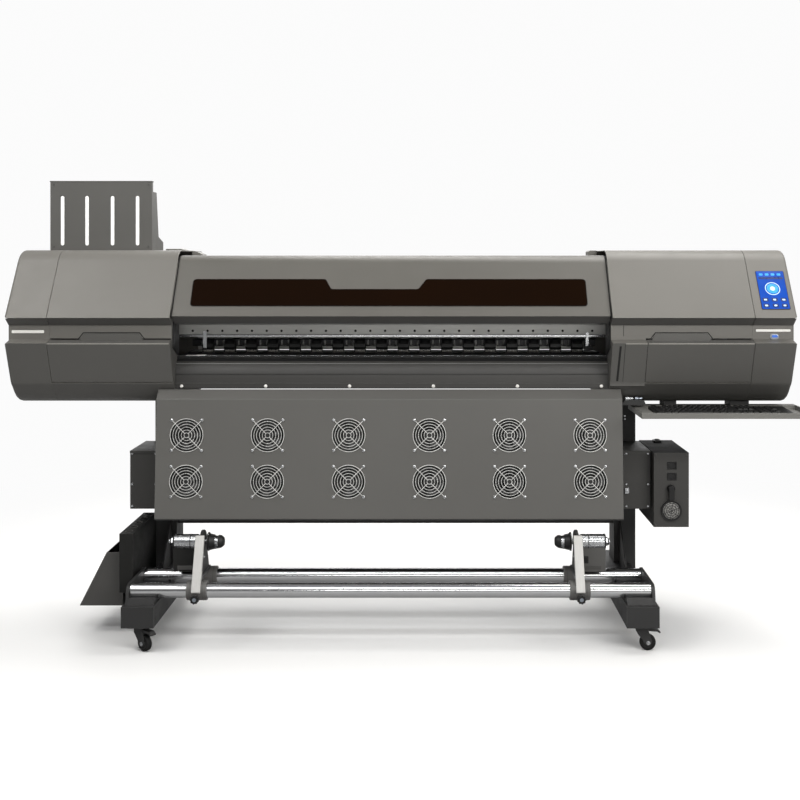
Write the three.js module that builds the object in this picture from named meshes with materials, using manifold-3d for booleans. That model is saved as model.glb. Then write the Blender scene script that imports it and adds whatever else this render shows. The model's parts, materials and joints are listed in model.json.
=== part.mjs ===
// Wide-format roll-to-roll sign printer on a caster stand, with a drying-fan panel and a
// friction take-up.  Millimetres, +Z up, +X to the operator's right, +Y to the back.
// Shapes are laid out from the middle of the print width (X = 0), the front ridge of the
// two heads (Y = 0) and the floor (Z = 0); the finished group is then shifted so that its
// origin is the middle of its own footprint.
import * as THREE from "three";
import { mergeVertices } from "three/addons/utils/BufferGeometryUtils.js";
import Module from "manifold-3d";

const wasm = await Module();
wasm.setup();

// ---------------------------------------------------------------- driving dimensions
const SHIFT_X = -62;          // moves the layout origin to the middle of the footprint
const SHIFT_Y = -221.8535;
const GAP = 0.3;              // air between pieces that touch

const BODY_LEFT = -1337, BODY_RIGHT = 1415;      // outer ends of the two heads
const SEAM_LEFT = -1190, SEAM_RIGHT = 1268;      // end cap / head joint lines
const HEAD_IN_LEFT = -763, HEAD_IN_RIGHT = 773;  // inner faces of the heads
const WALL = 4;               // moulded cover thickness
const BODY_BACK = 600, BODY_TOP = 1344, BODY_BOTTOM = 801;
const COVER_HINGE_Y = 385;    // upper cover hinge line
const LID_HINGE_Y = 335, LID_TOP = 1325;
const DOOR_HINGE_Y = 60, DOOR_HINGE_Z = 879;

const STAND_X = 8;            // middle of the stand
const FOOT_X = 840, FOOT_W = 108, LEG_X = 874, LEG_W = 82;
const FOOT_FRONT = -170, FOOT_BACK = 615, FOOT_LOW = 85, FOOT_TOP = 155;
const TUBE_R = 25, TUBE_BORE = 22, TUBE_Z = 193, TUBE_FRONT_Y = -100, TUBE_BACK_Y = 90;

const WHEEL_R = 27, WHEEL_HALF = 10, TRAIL = 22;

const FAN_X = [-710, -427, -144, 138, 417, 699], FAN_Z = [696, 536];
const FAN_HOLE_R = 56, ROTOR_R = 50;
const PANEL_X0 = -818, PANEL_X1 = 813, PANEL_LOW = 406, PANEL_TOP = 821, PANEL_LOW_Y = 15, PANEL_TOP_Y = 45;

const PLATEN_Z = 965;
const ROLLER_Y = 305, ROLLER_R = 14;
const ARM_X = 645;            // take-up arm centre, from X = 0, each side
const SPINDLE_Y = 0, SPINDLE_Z = 334, SHAFT_R = 10;

// ---------------------------------------------------------------- solid helpers
const solid = (geometry) => {
  let g = geometry.index ? geometry.toNonIndexed() : geometry.clone();
  for (const key of Object.keys(g.attributes)) if (key !== "position") g.deleteAttribute(key);
  g = mergeVertices(g, 1e-4);
  const tri = [];
  const ix = g.index.array;
  for (let i = 0; i < ix.length; i += 3) {
    if (ix[i] !== ix[i + 1] && ix[i + 1] !== ix[i + 2] && ix[i] !== ix[i + 2]) tri.push(ix[i], ix[i + 1], ix[i + 2]);
  }
  return new wasm.Manifold(new wasm.Mesh({
    numProp: 3,
    vertProperties: new Float32Array(g.attributes.position.array),
    triVerts: new Uint32Array(tri),
  }));
};
const geometryOf = (s) => {
  const m = s.getMesh();
  const n = m.vertProperties.length / m.numProp;
  const pos = new Float32Array(n * 3);
  for (let i = 0; i < n; i++) for (let k = 0; k < 3; k++) pos[i * 3 + k] = m.vertProperties[i * m.numProp + k];
  const g = new THREE.BufferGeometry();
  g.setAttribute("position", new THREE.BufferAttribute(pos, 3));
  g.setIndex(new THREE.BufferAttribute(new Uint32Array(m.triVerts), 1));
  g.computeVertexNormals();
  return g;
};
const join = (...gs) => geometryOf(gs.map(solid).reduce((a, b) => a.add(b)));
const cut = (g, ...tools) => geometryOf(tools.map(solid).reduce((a, b) => a.subtract(b), solid(g)));
const keep = (a, b) => geometryOf(solid(a).intersect(solid(b)));

const box = (x0, x1, y0, y1, z0, z1) => {
  const g = new THREE.BoxGeometry(x1 - x0, y1 - y0, z1 - z0);
  g.translate((x0 + x1) / 2, (y0 + y1) / 2, (z0 + z1) / 2);
  return g;
};
const cylX = (y, z, r, x0, x1, n = 24) => {
  const g = new THREE.CylinderGeometry(r, r, x1 - x0, n);
  g.rotateZ(-Math.PI / 2);
  g.translate((x0 + x1) / 2, y, z);
  return g;
};
const cylY = (x, z, r, y0, y1, n = 20) => {
  const g = new THREE.CylinderGeometry(r, r, y1 - y0, n);
  g.translate(x, (y0 + y1) / 2, z);
  return g;
};
const cylZ = (x, y, r, z0, z1, n = 20) => {
  const g = new THREE.CylinderGeometry(r, r, z1 - z0, n);
  g.rotateX(Math.PI / 2);
  g.translate(x, y, (z0 + z1) / 2);
  return g;
};
const outline = (pts) => new THREE.Shape(pts.map(([a, b]) => new THREE.Vector2(a, b)));
// extrudes an outline given in (Y, Z) along X
const prismX = (pts, x0, x1, hole) => {
  const s = outline(pts);
  if (hole) s.holes.push(new THREE.Path(hole.map(([a, b]) => new THREE.Vector2(a, b))));
  const g = new THREE.ExtrudeGeometry(s, { depth: x1 - x0, bevelEnabled: false, steps: 1 });
  g.applyMatrix4(new THREE.Matrix4().set(0, 0, 1, x0, 1, 0, 0, 0, 0, 1, 0, 0, 0, 0, 0, 1));
  return g;
};
// extrudes an outline given in (X, Z) along Y
const prismY = (pts, y0, y1) => {
  const g = new THREE.ExtrudeGeometry(outline(pts), { depth: y1 - y0, bevelEnabled: false, steps: 1 });
  g.applyMatrix4(new THREE.Matrix4().set(1, 0, 0, 0, 0, 0, -1, y1, 0, 1, 0, 0, 0, 0, 0, 1));
  return g;
};
// extrudes an outline given in (X, Y) along Z
const prismZ = (pts, z0, z1) => {
  const g = new THREE.ExtrudeGeometry(outline(pts), { depth: z1 - z0, bevelEnabled: false, steps: 1 });
  g.translate(0, 0, z0);
  return g;
};
// a plate lying on a sloped face: outline in (X, distance up the slope from its foot)
const onSlope = (pts, footY, footZ, topY, topZ, d0, d1) => {
  const len = Math.hypot(topY - footY, topZ - footZ);
  const a = (topY - footY) / len, b = (topZ - footZ) / len;
  const g = new THREE.ExtrudeGeometry(outline(pts), { depth: d1 - d0, bevelEnabled: false, steps: 1 });
  g.translate(0, 0, d0);
  g.applyMatrix4(new THREE.Matrix4().set(1, 0, 0, 0, 0, a, -b, footY, 0, b, a, footZ, 0, 0, 0, 1));
  return g;
};
// offsets a path to its left by d, with mitred corners
const offset = (pts, d, closed = false) => {
  const n = pts.length, out = [];
  const dir = (p, q) => { const l = Math.hypot(q[0] - p[0], q[1] - p[1]); return [(q[0] - p[0]) / l, (q[1] - p[1]) / l]; };
  for (let i = 0; i < n; i++) {
    const prev = closed || i > 0 ? dir(pts[(i - 1 + n) % n], pts[i]) : dir(pts[0], pts[1]);
    const next = closed || i < n - 1 ? dir(pts[i], pts[(i + 1) % n]) : prev;
    const n1 = [-prev[1], prev[0]], n2 = [-next[1], next[0]];
    const k = d / (1 + n1[0] * n2[0] + n1[1] * n2[1]);
    out.push([pts[i][0] + (n1[0] + n2[0]) * k, pts[i][1] + (n1[1] + n2[1]) * k]);
  }
  return out;
};
const sheet = (pts, t) => [...pts, ...offset(pts, t).reverse()];
// replaces a corner by an arc of radius r
const corner = (a, b, c, r, n = 5) => {
  const u = new THREE.Vector2(a[0] - b[0], a[1] - b[1]).normalize(), v = new THREE.Vector2(c[0] - b[0], c[1] - b[1]).normalize();
  const half = Math.acos(THREE.MathUtils.clamp(u.dot(v), -1, 1)) / 2;
  const t = r / Math.tan(half);
  const m = u.clone().add(v).normalize().multiplyScalar(r / Math.sin(half));
  const cx = b[0] + m.x, cy = b[1] + m.y;
  const a0 = Math.atan2(b[1] + u.y * t - cy, b[0] + u.x * t - cx), a1 = Math.atan2(b[1] + v.y * t - cy, b[0] + v.x * t - cx);
  let da = a1 - a0;
  if (da > Math.PI) da -= 2 * Math.PI;
  if (da < -Math.PI) da += 2 * Math.PI;
  const out = [];
  for (let i = 0; i <= n; i++) out.push([cx + r * Math.cos(a0 + da * i / n), cy + r * Math.sin(a0 + da * i / n)]);
  return out;
};
// solid of revolution about X: profile in (x, radius)
const turnX = (profile, y, z, n = 20) => {
  const g = new THREE.LatheGeometry(profile.map(([x, r]) => new THREE.Vector2(r, x)), n);
  g.rotateZ(-Math.PI / 2);
  g.translate(0, y, z);
  return g;
};

// ---------------------------------------------------------------- finishes
const paint = { color: 0x64635f, roughness: 0.48, metalness: 0.25 };
const paintDark = { color: 0x4b4a48, roughness: 0.5, metalness: 0.25 };
const blackSteel = { color: 0x282828, roughness: 0.5, metalness: 0.3 };
const blackPlastic = { color: 0x151515, roughness: 0.45, metalness: 0 };
const chrome = { color: 0xd2d4d6, roughness: 0.16, metalness: 1 };
const aluminium = { color: 0xb9babb, roughness: 0.35, metalness: 1 };
const rubber = { color: 0x1b1b1b, roughness: 0.8, metalness: 0 };
const tinted = { color: 0x1f0f04, roughness: 0.08, metalness: 0 };
const glass = { color: 0x1a50b8, roughness: 0.12, metalness: 0 };

const printer = new THREE.Group();
const add = (name, geometry, finish, parent = printer) => {
  const m = new THREE.Mesh(geometry, new THREE.MeshStandardMaterial(finish));
  m.name = name;
  parent.add(m);
  return m;
};

// ---------------------------------------------------------------- stand
const cheek = (a, b) => [[a - 46, 150], [b + 46, 150], [b + 40, 172], [b + 36, 196], [b + 28, 211], [b + 14, 218], [a - 14, 218], [a - 28, 211], [a - 36, 196], [a - 40, 172]];
const standSide = (s) => {
  const X = (a, b) => (s > 0 ? [STAND_X + a, STAND_X + b] : [STAND_X - b, STAND_X - a]);
  const [f0, f1] = X(FOOT_X - FOOT_W / 2, FOOT_X + FOOT_W / 2);
  const [l0, l1] = X(LEG_X - LEG_W / 2, LEG_X + LEG_W / 2);
  const [p0, p1] = X(LEG_X - 56, LEG_X + 50);
  const [g0, g1] = X(FOOT_X + 12, FOOT_X + 18);
  const [c0, c1] = X(792, 877);
  const [k0, k1] = X(876.5, 886);
  return cut(
    join(
      box(f0, f1, FOOT_FRONT, FOOT_BACK, FOOT_LOW, FOOT_TOP),
      box(l0, l1, 412, 528, FOOT_LOW + 20, 795),
      box(p0, p1, 378, 562, 790, BODY_BOTTOM - GAP),
      prismX([[413, 150], [240, 150], [413, 330]], g0, g1),
      prismX([[-146, 150], [-54, 150], [-62, 176], [-138, 176]], c0, c1),
      prismX([[44, 150], [136, 150], [128, 176], [52, 176]], c0, c1),
      prismX(cheek(TUBE_FRONT_Y, TUBE_BACK_Y), k0, k1),
    ),
    cylX(TUBE_FRONT_Y, TUBE_Z, TUBE_R + GAP, c0 - (s > 0 ? 5 : -0.5), c1 + (s > 0 ? -0.5 : 5)),
    cylX(TUBE_BACK_Y, TUBE_Z, TUBE_R + GAP, c0 - (s > 0 ? 5 : -0.5), c1 + (s > 0 ? -0.5 : 5)),
    box(f0 + 4, f1 - 4, FOOT_FRONT + 4, 408, FOOT_LOW + 4, FOOT_TOP - 4),
    box(f0 + 4, f1 - 4, 532, FOOT_BACK + 10, FOOT_LOW + 4, FOOT_TOP - 4),
    box(f0 + 30, f1 - 30, 100, 300, FOOT_LOW - 5, FOOT_LOW + 10),
    box(l0 + 4, l1 - 4, 416, 524, FOOT_LOW + 24, 820),
  );
};
add("left_stand_side", standSide(-1), blackSteel);
add("right_stand_side", standSide(1), blackSteel);
const beamHalf = LEG_X - LEG_W / 2 - GAP;
add("stand_crossbeam", prismX([[430, 302], [500, 302], [500, 372], [430, 372]], STAND_X - beamHalf, STAND_X + beamHalf,
  [[433, 305], [433, 369], [497, 369], [497, 305]]), blackSteel);

const tube = (y) => turnX([[-875.5, TUBE_BORE], [-875.5, TUBE_R], [875.5, TUBE_R], [875.5, TUBE_BORE], [-875.5, TUBE_BORE]], y, TUBE_Z, 24);
for (const [name, y] of [["front_guide_tube", TUBE_FRONT_Y], ["rear_guide_tube", TUBE_BACK_Y]]) {
  add(name, tube(y), chrome).position.x = STAND_X;
}

// swivel casters: swivel axis at the local origin, wheel trailing along local +X
const forkGeometry = (brake) => {
  const side = [[-16, 76], [-15, 60], [8, 30], [12, 21], [20, 17], [29, 20], [33, 29], [31, 44], [20, 76]];
  const bits = [
    cylZ(0, 0, 30, 78, FOOT_LOW - GAP, 16),
    box(-20, 22, -15, 15, 72, 79),
    prismY(side, 11.5, 15),
    prismY(side, -15, -11.5),
    cylY(TRAIL, WHEEL_R, 4, -18, 18, 12),
  ];
  if (brake) bits.push(prismY([[-6, 60], [20, 66], [52, 64], [62, 58], [64, 62], [54, 71], [18, 74], [-6, 74]], -11.7, 11.7));
  return join(...bits);
};
const wheelGeometry = () => {
  const g = new THREE.LatheGeometry([[4.4, -WHEEL_HALF], [24, -WHEEL_HALF], [WHEEL_R, -7], [WHEEL_R, 7], [24, WHEEL_HALF], [4.4, WHEEL_HALF], [4.4, -WHEEL_HALF]].map(([r, y]) => new THREE.Vector2(r, y)), 20);
  return g;
};
const casters = [["front_left", -1, -125, -35, true], ["front_right", 1, -125, 0, true], ["rear_left", -1, 570, 20, false], ["rear_right", 1, 570, -15, false]];
for (const [name, s, y, heading, brake] of casters) {
  const caster = new THREE.Group();
  caster.position.set(STAND_X + s * FOOT_X, y, 0);
  caster.rotation.z = THREE.MathUtils.degToRad(heading);
  add(`caster_fork_${name}`, forkGeometry(brake), blackSteel, caster);
  add(`caster_wheel_${name}`, wheelGeometry(), rubber, caster).position.set(TRAIL, 0, WHEEL_R);
  printer.add(caster);
}

// ---------------------------------------------------------------- take-up
const armGeometry = (s) => {           // s = +1 when outboard is +X
  const o = (a, b) => (s > 0 ? [a, b] : [-b, -a]);
  const [p0, p1] = o(-4, 4);
  return cut(
    join(
      cylX(TUBE_FRONT_Y, TUBE_Z, 33, -34, 34, 18),
      cylX(TUBE_BACK_Y, TUBE_Z, 33, -34, 34, 18),
      box(-10, 10, TUBE_FRONT_Y, TUBE_BACK_Y, 219, 232),
      prismX([[-140, 194], [-124, 186], [-46, 366], [-60, 368]], -15, 15),
      prismX([[-112, 222], [92, 222], [40, 334], [28, 362], [-20, 366], [-54, 366]], p0, p1),
      cylX(SPINDLE_Y, SPINDLE_Z, 40, p0, p1),
      cylY(0, 176, 15, -160, -142, 12),
      cylY(0, 176, 7, -145, -125, 12),
    ),
    cylX(TUBE_FRONT_Y, TUBE_Z, TUBE_R + GAP, -40, 40),
    cylX(TUBE_BACK_Y, TUBE_Z, TUBE_R + GAP, -40, 40),
    cylX(SPINDLE_Y, SPINDLE_Z, SHAFT_R + 0.5, -40, 40),
  );
};
const boxGeometry = (s) => {
  const [a, b] = s > 0 ? [15.3, 101] : [-101, -15.3];
  const [e, f] = s > 0 ? [4.3, 16] : [-16, -4.3];
  return cut(
    join(box(a, b, -16, 118, 233, 330), cylX(SPINDLE_Y, SPINDLE_Z, 24, a, b), box(e, f, -14, 30, 240, 330)),
    cylX(SPINDLE_Y, SPINDLE_Z, SHAFT_R + 0.5, -110, 110),
  );
};
const spindleGeometry = (s) => {
  const p = [[118, 0], [118, SHAFT_R], [-16.5, SHAFT_R], [-16.5, 32], [-22, 32], [-22, 25], [-64, 24], [-74, 16], [-74, 0]];
  const q = p.map(([x, r]) => [s > 0 ? x : -x, r]);
  if (s > 0) q.reverse();
  return turnX(q, SPINDLE_Y, SPINDLE_Z, 20);
};
for (const [side, s] of [["left", -1], ["right", 1]]) {
  const unit = new THREE.Group();
  unit.position.x = s * ARM_X;
  add(`takeup_arm_${side}`, armGeometry(s), aluminium, unit);
  add(`takeup_box_${side}`, boxGeometry(s), paintDark, unit);
  add(`takeup_spindle_${side}`, spindleGeometry(s), blackPlastic, unit);
  printer.add(unit);
}

// ---------------------------------------------------------------- drying-fan panel
const panelSection = [[80, 854], [PANEL_TOP_Y, PANEL_TOP], [PANEL_LOW_Y, PANEL_LOW], [88, PANEL_LOW]];
const fanHoles = [];
for (const z of FAN_Z) for (const x of FAN_X) fanHoles.push(cylY(x, z, FAN_HOLE_R, -30, 60, 16));
add("fan_panel", cut(prismX(panelSection, PANEL_X0, PANEL_X1),
  prismX(offset(panelSection, 2, true), PANEL_X0 + 2, PANEL_X1 - 2), ...fanHoles), paint);

const panelTilt = Math.atan2(PANEL_TOP_Y - PANEL_LOW_Y, PANEL_TOP - PANEL_LOW);
const rotorGeometry = () => {
  const bits = [cylY(0, 0, 20, -9, 9, 10)];
  for (let i = 0; i < 5; i++) {
    const blade = prismY([[10, -7], [ROTOR_R - 4, -14], [ROTOR_R - 1, 0], [ROTOR_R - 4, 14], [10, 7]], -1, 1);
    blade.rotateX(0.5);
    blade.rotateY((i * 2 * Math.PI) / 5);
    bits.push(blade);
  }
  return join(...bits);
};
let fan = 0;
for (const z of FAN_Z) for (const x of FAN_X) {
  const y = PANEL_LOW_Y + (PANEL_TOP_Y - PANEL_LOW_Y) * (z - PANEL_LOW) / (PANEL_TOP - PANEL_LOW);
  const m = add(`fan_rotor_${++fan}`, rotorGeometry(), blackPlastic);
  m.position.set(x, y + 18 * Math.cos(panelTilt), z - 18 * Math.sin(panelTilt));
  m.rotation.x = -panelTilt;
}

// ---------------------------------------------------------------- electrical boxes
// the cabinet bears on the legs behind it and carries the panel on two tabs
add("electronics_cabinet", cut(
  join(box(-943, 936, 175, 411.7, 410, 620), box(-800, -790, 88.3, 176, 412, 462), box(785, 795, 88.3, 176, 412, 462)),
  box(-941, 934, 177, 409.7, 412, 618), box(-60, 60, 402, 420, 430, 470)), paint);
const SWITCH_X = 1004, SWITCH_Z = [573.5, 534.5], BOX_FRONT = 130;
add("power_box", cut(
  join(
    cut(box(940, 1065, BOX_FRONT, 430, 354, 620), box(942, 1063, BOX_FRONT + 2, 428, 356, 618)),
    cylY(1000, 492, 12, BOX_FRONT - 14, BOX_FRONT + 1, 16),
    box(991, 1009, BOX_FRONT - 20, BOX_FRONT - 12, 452, 502),
    cut(cylY(1002, 414, 36.5, BOX_FRONT - 9, BOX_FRONT + 1, 24), cylY(1002, 414, 31, BOX_FRONT - 12, BOX_FRONT - 5, 24)),
  ),
  box(SWITCH_X - 15, SWITCH_X + 15, BOX_FRONT - 5, BOX_FRONT + 5, SWITCH_Z[0] - 10.5, SWITCH_Z[0] + 10.5),
  box(SWITCH_X - 15, SWITCH_X + 15, BOX_FRONT - 5, BOX_FRONT + 5, SWITCH_Z[1] - 10.5, SWITCH_Z[1] + 10.5),
  box(980, 1020, 420, 440, 380, 410),
), paint);
["power_switch", "heater_switch"].forEach((name, i) => {
  const m = add(name, prismZ([[-13.5, -3.6], [0, -1.2], [13.5, -3.6], [12.5, 2], [8, 7], [-8, 7], [-12.5, 2]], -9.5, 9.5), blackPlastic);
  m.position.set(SWITCH_X, BOX_FRONT + 1, SWITCH_Z[i]);
  m.rotation.z = THREE.MathUtils.degToRad(-7);
});

// ---------------------------------------------------------------- heads and covers
const bottomFront = [[68, 867], [80, 856], [98, 836], [120, 818], [144, 807], [170, BODY_BOTTOM]];
const topFront = corner([BODY_BACK, BODY_TOP], [160, BODY_TOP], [0, 1107], 85, 5);
const rearLow = corner([170, BODY_BOTTOM], [BODY_BACK, BODY_BOTTOM], [BODY_BACK, BODY_TOP], 28, 3);
const rearHigh = corner([BODY_BACK, BODY_BOTTOM], [BODY_BACK, BODY_TOP], [160, BODY_TOP], 28, 3);
const headOutline = [...rearLow, ...rearHigh, ...topFront, [0, 1107], [40, 1100], [40, 1031], [0, 1020], [DOOR_HINGE_Y, DOOR_HINGE_Z], ...bottomFront];

const endCap = (x0, x1, outer) => {     // outer: -1 closed at x0, +1 closed at x1
  const e = 12;
  const g = new THREE.ExtrudeGeometry(outline(headOutline), { depth: x1 - x0 + 40 - 2 * e, bevelEnabled: true, bevelThickness: e, bevelSize: e, bevelOffset: -e, bevelSegments: 3, steps: 1 });
  g.applyMatrix4(new THREE.Matrix4().set(0, 0, 1, (outer < 0 ? x0 : x0 - 40) + e, 1, 0, 0, 0, 0, 1, 0, 0, 0, 0, 0, 1));
  const shell = keep(g, box(x0, x1, -50, 700, 700, 1500));
  const inner = offset(headOutline, WALL, true);
  return cut(shell, prismX(inner, outer < 0 ? x0 + 14 : x0 - 5, outer < 0 ? x1 + 5 : x1 - 14));
};
add("left_end_cap", endCap(BODY_LEFT, SEAM_LEFT, -1), paint);
const SCREEN = [[1296, 36], [1394, 36], [1394, 194], [1296, 194]];   // across, up the sloped face
const grow = (pts, d) => offset(pts, -d, true);
add("right_end_cap", cut(endCap(SEAM_RIGHT, BODY_RIGHT, 1),
  onSlope(grow(SCREEN, 0.6), 0, 1107, 160, BODY_TOP, -12, 8),
  box(1330, 1358, 30, 60, 1032.5, 1048)), paint);
add("touch_screen", onSlope(SCREEN, 0, 1107, 160, BODY_TOP, -4, 1.5), glass);
add("power_button", box(1331, 1357, 33.5, 50, 1033.3, 1047.2), aluminium);

const shellPath = [[61.6, 875.6], ...bottomFront, ...rearLow, ...rearHigh, [COVER_HINGE_Y + GAP, BODY_TOP]];
const fascia = [[40, 1150], [40, 1024], [9, 1014], [67, 882], [74, 864], [84, 855], [101, 835], [124, 817], [150, 806], [210, 803], [210, 850], [150, 900], [150, 1308]];
const coverPath = [[COVER_HINGE_Y, BODY_TOP], ...topFront, [0, 1107], [38.5, 1100.3]];
const doorPath = [[38.5, 1029.7], [0, 1020], [DOOR_HINGE_Y, DOOR_HINGE_Z]];
const headShell = (x0, x1, fixedFrom, fixedTo) => {
  const bits = [
    prismX(sheet(shellPath, WALL), x0, x1),
    prismX(fascia, x0, x0 + WALL),
    prismX(fascia, x1 - WALL, x1),
    box(x0, x1, 40, 44, 1034, 1135),
  ];
  if (fixedTo) bits.push(prismX(sheet([[39.6, 1030], [0, 1020], [61, 876.6]], WALL), fixedFrom, fixedTo), box(fixedFrom, fixedTo, 39, 44, 1020, 1040), box(fixedFrom, fixedTo, 60, 72, 866, 882));
  return join(...bits);
};
add("left_head_shell", headShell(SEAM_LEFT + GAP, HEAD_IN_LEFT), paint);
add("right_head_shell", headShell(HEAD_IN_RIGHT, SEAM_RIGHT - GAP, HEAD_IN_RIGHT, 894.5), paint);
add("left_upper_cover", prismX(sheet(coverPath, WALL), SEAM_LEFT + 1.2, HEAD_IN_LEFT - 0.2), paint);
add("right_upper_cover", prismX(sheet(coverPath, WALL), HEAD_IN_RIGHT + 0.2, SEAM_RIGHT - 1.2), paint);
const notch = (a, b) => prismZ([[a, 45], [a + 16, 17], [b - 16, 17], [b, 45]], 1014, 1040);
add("left_lower_door", cut(prismX(sheet(doorPath, WALL), SEAM_LEFT + 1.2, HEAD_IN_LEFT - 0.2), notch(-1090, -857)), paint);
add("right_lower_door", cut(prismX(sheet(doorPath, WALL), 896, SEAM_RIGHT - 1.2), notch(910, 1130)), paint);

// ---------------------------------------------------------------- print section
const LID = { footY: 20, footZ: 1112, topY: 165, topZ: LID_TOP };
const lidPath = [[LID_HINGE_Y - 0.3, LID_TOP], ...corner([LID_HINGE_Y, LID_TOP], [LID.topY, LID_TOP], [LID.footY, LID.footZ], 60, 5), [LID.footY, LID.footZ], [64, 1106]];
const WINDOW = [[-696, 45.6], [688, 45.6], [688, 150.8], [129, 150.8], [101, 108.4], [-211, 108.4], [-232, 150.8], [-696, 150.8]];
add("front_lid", cut(prismX(sheet(lidPath, WALL), HEAD_IN_LEFT + 3.5, HEAD_IN_RIGHT - 3.5),
  onSlope(grow(WINDOW, 0.4), LID.footY, LID.footZ, LID.topY, LID.topZ, -12, 8)), paint);
add("lid_window", onSlope(WINDOW, LID.footY, LID.footZ, LID.topY, LID.topZ, -3.6, 0.6), tinted);
add("rear_cover", prismX(sheet([[588, 1080], [588, 1302], [565, LID_TOP], [LID_HINGE_Y + 0.3, LID_TOP]], WALL), HEAD_IN_LEFT + GAP, HEAD_IN_RIGHT - GAP), paint);

const platenPath = [[575, 890], [562, 930], [520, 955], [440, PLATEN_Z], [323, PLATEN_Z], [323, 934], [287, 934], [287, PLATEN_Z], [130, PLATEN_Z], [130, 905]];
add("platen", prismX(sheet(platenPath, 4), HEAD_IN_LEFT + GAP, HEAD_IN_RIGHT - GAP), blackSteel);
add("feed_roller", cylX(ROLLER_Y, PLATEN_Z - ROLLER_R, ROLLER_R, -755, 765, 20), aluminium);
add("front_apron", prismX(sheet([[127.6, 956], [117, 948], [106, 936], [97, 917], [92, 893], [92, 853], [128, 853]], 3), HEAD_IN_LEFT + GAP, HEAD_IN_RIGHT - GAP), paintDark);

// aluminium beam with the carriage rail on its front face, carried on two end posts
add("rail_beam", join(
  prismX([[280, 1023], [288, 1023], [288, 1088], [412, 1088], [412, 1023], [420, 1023], [420, 1096], [280, 1096]], -1160, 1240),
  box(-1160, -1148, 280, 420, 805.3, 1096),
  box(1228, 1240, 280, 420, 805.3, 1096),
  box(-745, 755, 413, 419, 976, 1030),      // upper media guide below the beam's rear flange
), aluminium);
const brackets = [];
for (let i = 0; i < 18; i++) { const x = -684 + i * 80.6; brackets.push(box(x - 21, x + 21, 284, 332, 976, 1013)); }
add("pinch_roller_bar", join(box(-748, 758, 328, 392, 988, 1013), ...brackets), blackPlastic);
add("print_carriage", join(
  box(800, 1080, 166, 275, 990, 1196),
  box(805, 1075, 270, 400, 1104, 1190),
  box(822, 1058, 176, 262, 975, 992),
), blackPlastic);
add("capping_station", cut(join(box(812, 1068, 172, 268, 880, 962), box(860, 1020, 180, 262, 806, 882)), box(830, 1050, 182, 258, 950, 970)), blackPlastic);

// ---------------------------------------------------------------- ink tower
const towerOut = [[400, BODY_TOP + GAP], [590, BODY_TOP + GAP], [590, 1380], [510, 1400], [477, 1570], [420, 1570], [420, 1610], [400, 1610]];
const towerIn = [[402, BODY_TOP - 5], [588, BODY_TOP - 5], [588, 1378], [508, 1398], [475, 1568], [402, 1568]];
const slots = [-1257, -1164, -1067, -972].map((x) => box(x - 7.5, x + 7.5, 395, 406, 1362, 1555));
add("ink_tower", cut(prismX(towerOut, -1304, -917), prismX(towerIn, -1302, -919), ...slots), paint);

// ---------------------------------------------------------------- keyboard tray and keyboard
add("keyboard_tray", cut(join(
  box(861, 1461, -70, 210, 767, 785),
  box(979, 1033, 150, 250, 767, 773), box(983, 1029, 172, 250, 767, BODY_BOTTOM - GAP),
  box(1218, 1295, 150, 250, 767, 773), box(1222, 1291, 172, 250, 767, BODY_BOTTOM - GAP),
), box(906, 1455, -64, 168, 769.5, 790), box(864, 903, -67, 165, 760, 783)), blackSteel);
add("keyboard", prismX([[-50, 769.8], [110, 769.8], [112, 771], [112, 787], [108, 789], [-50, 781]], 916, 1392), blackPlastic);

// ---------------------------------------------------------------- waste-bottle rack beside the left foot
const rackHoles = [40, 110, 180, 250, 320].map((y) => cylZ(-912, y, 12, 340, 370, 12));
add("waste_rack", cut(join(
  box(-936, -889.5, 0, 350, 156, 360),
  prismY([[-1085, 100], [-933, 100], [-933, 286], [-991, 286]], 40, 300),
), box(-933, -892.5, 3, 347, 150, 357), prismY([[-1078, 103], [-936.01, 103], [-936.01, 300], [-990.5, 300], [-988, 286]], 43, 297), ...rackHoles), paintDark);

printer.position.set(SHIFT_X, SHIFT_Y, 0);
printer.updateMatrixWorld(true);
export default printer;
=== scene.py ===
import json
import math
import random

import bmesh
import bpy
from mathutils import Matrix, Vector


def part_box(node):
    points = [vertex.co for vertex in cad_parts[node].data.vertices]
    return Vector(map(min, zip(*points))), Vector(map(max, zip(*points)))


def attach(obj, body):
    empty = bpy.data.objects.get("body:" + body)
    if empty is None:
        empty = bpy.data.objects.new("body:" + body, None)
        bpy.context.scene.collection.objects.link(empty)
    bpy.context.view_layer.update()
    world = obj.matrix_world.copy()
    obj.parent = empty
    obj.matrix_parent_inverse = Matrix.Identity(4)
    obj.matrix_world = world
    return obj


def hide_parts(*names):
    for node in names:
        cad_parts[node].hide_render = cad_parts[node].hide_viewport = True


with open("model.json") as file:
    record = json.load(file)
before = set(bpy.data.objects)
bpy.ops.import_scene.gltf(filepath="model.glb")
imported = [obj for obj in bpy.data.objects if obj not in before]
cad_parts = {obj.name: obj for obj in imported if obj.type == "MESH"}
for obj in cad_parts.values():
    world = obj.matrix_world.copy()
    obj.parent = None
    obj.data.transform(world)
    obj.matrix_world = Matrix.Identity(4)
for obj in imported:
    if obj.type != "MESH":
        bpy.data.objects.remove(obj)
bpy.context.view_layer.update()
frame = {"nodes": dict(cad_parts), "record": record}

random.seed(7)
SX, SY = -62.0, -221.8535          # layout (mm, print centre and head ridge) to the shared frame
MM = 0.001


def W(x, y, z):
    return Vector(((x + SX) * MM, (y + SY) * MM, z * MM))


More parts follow.
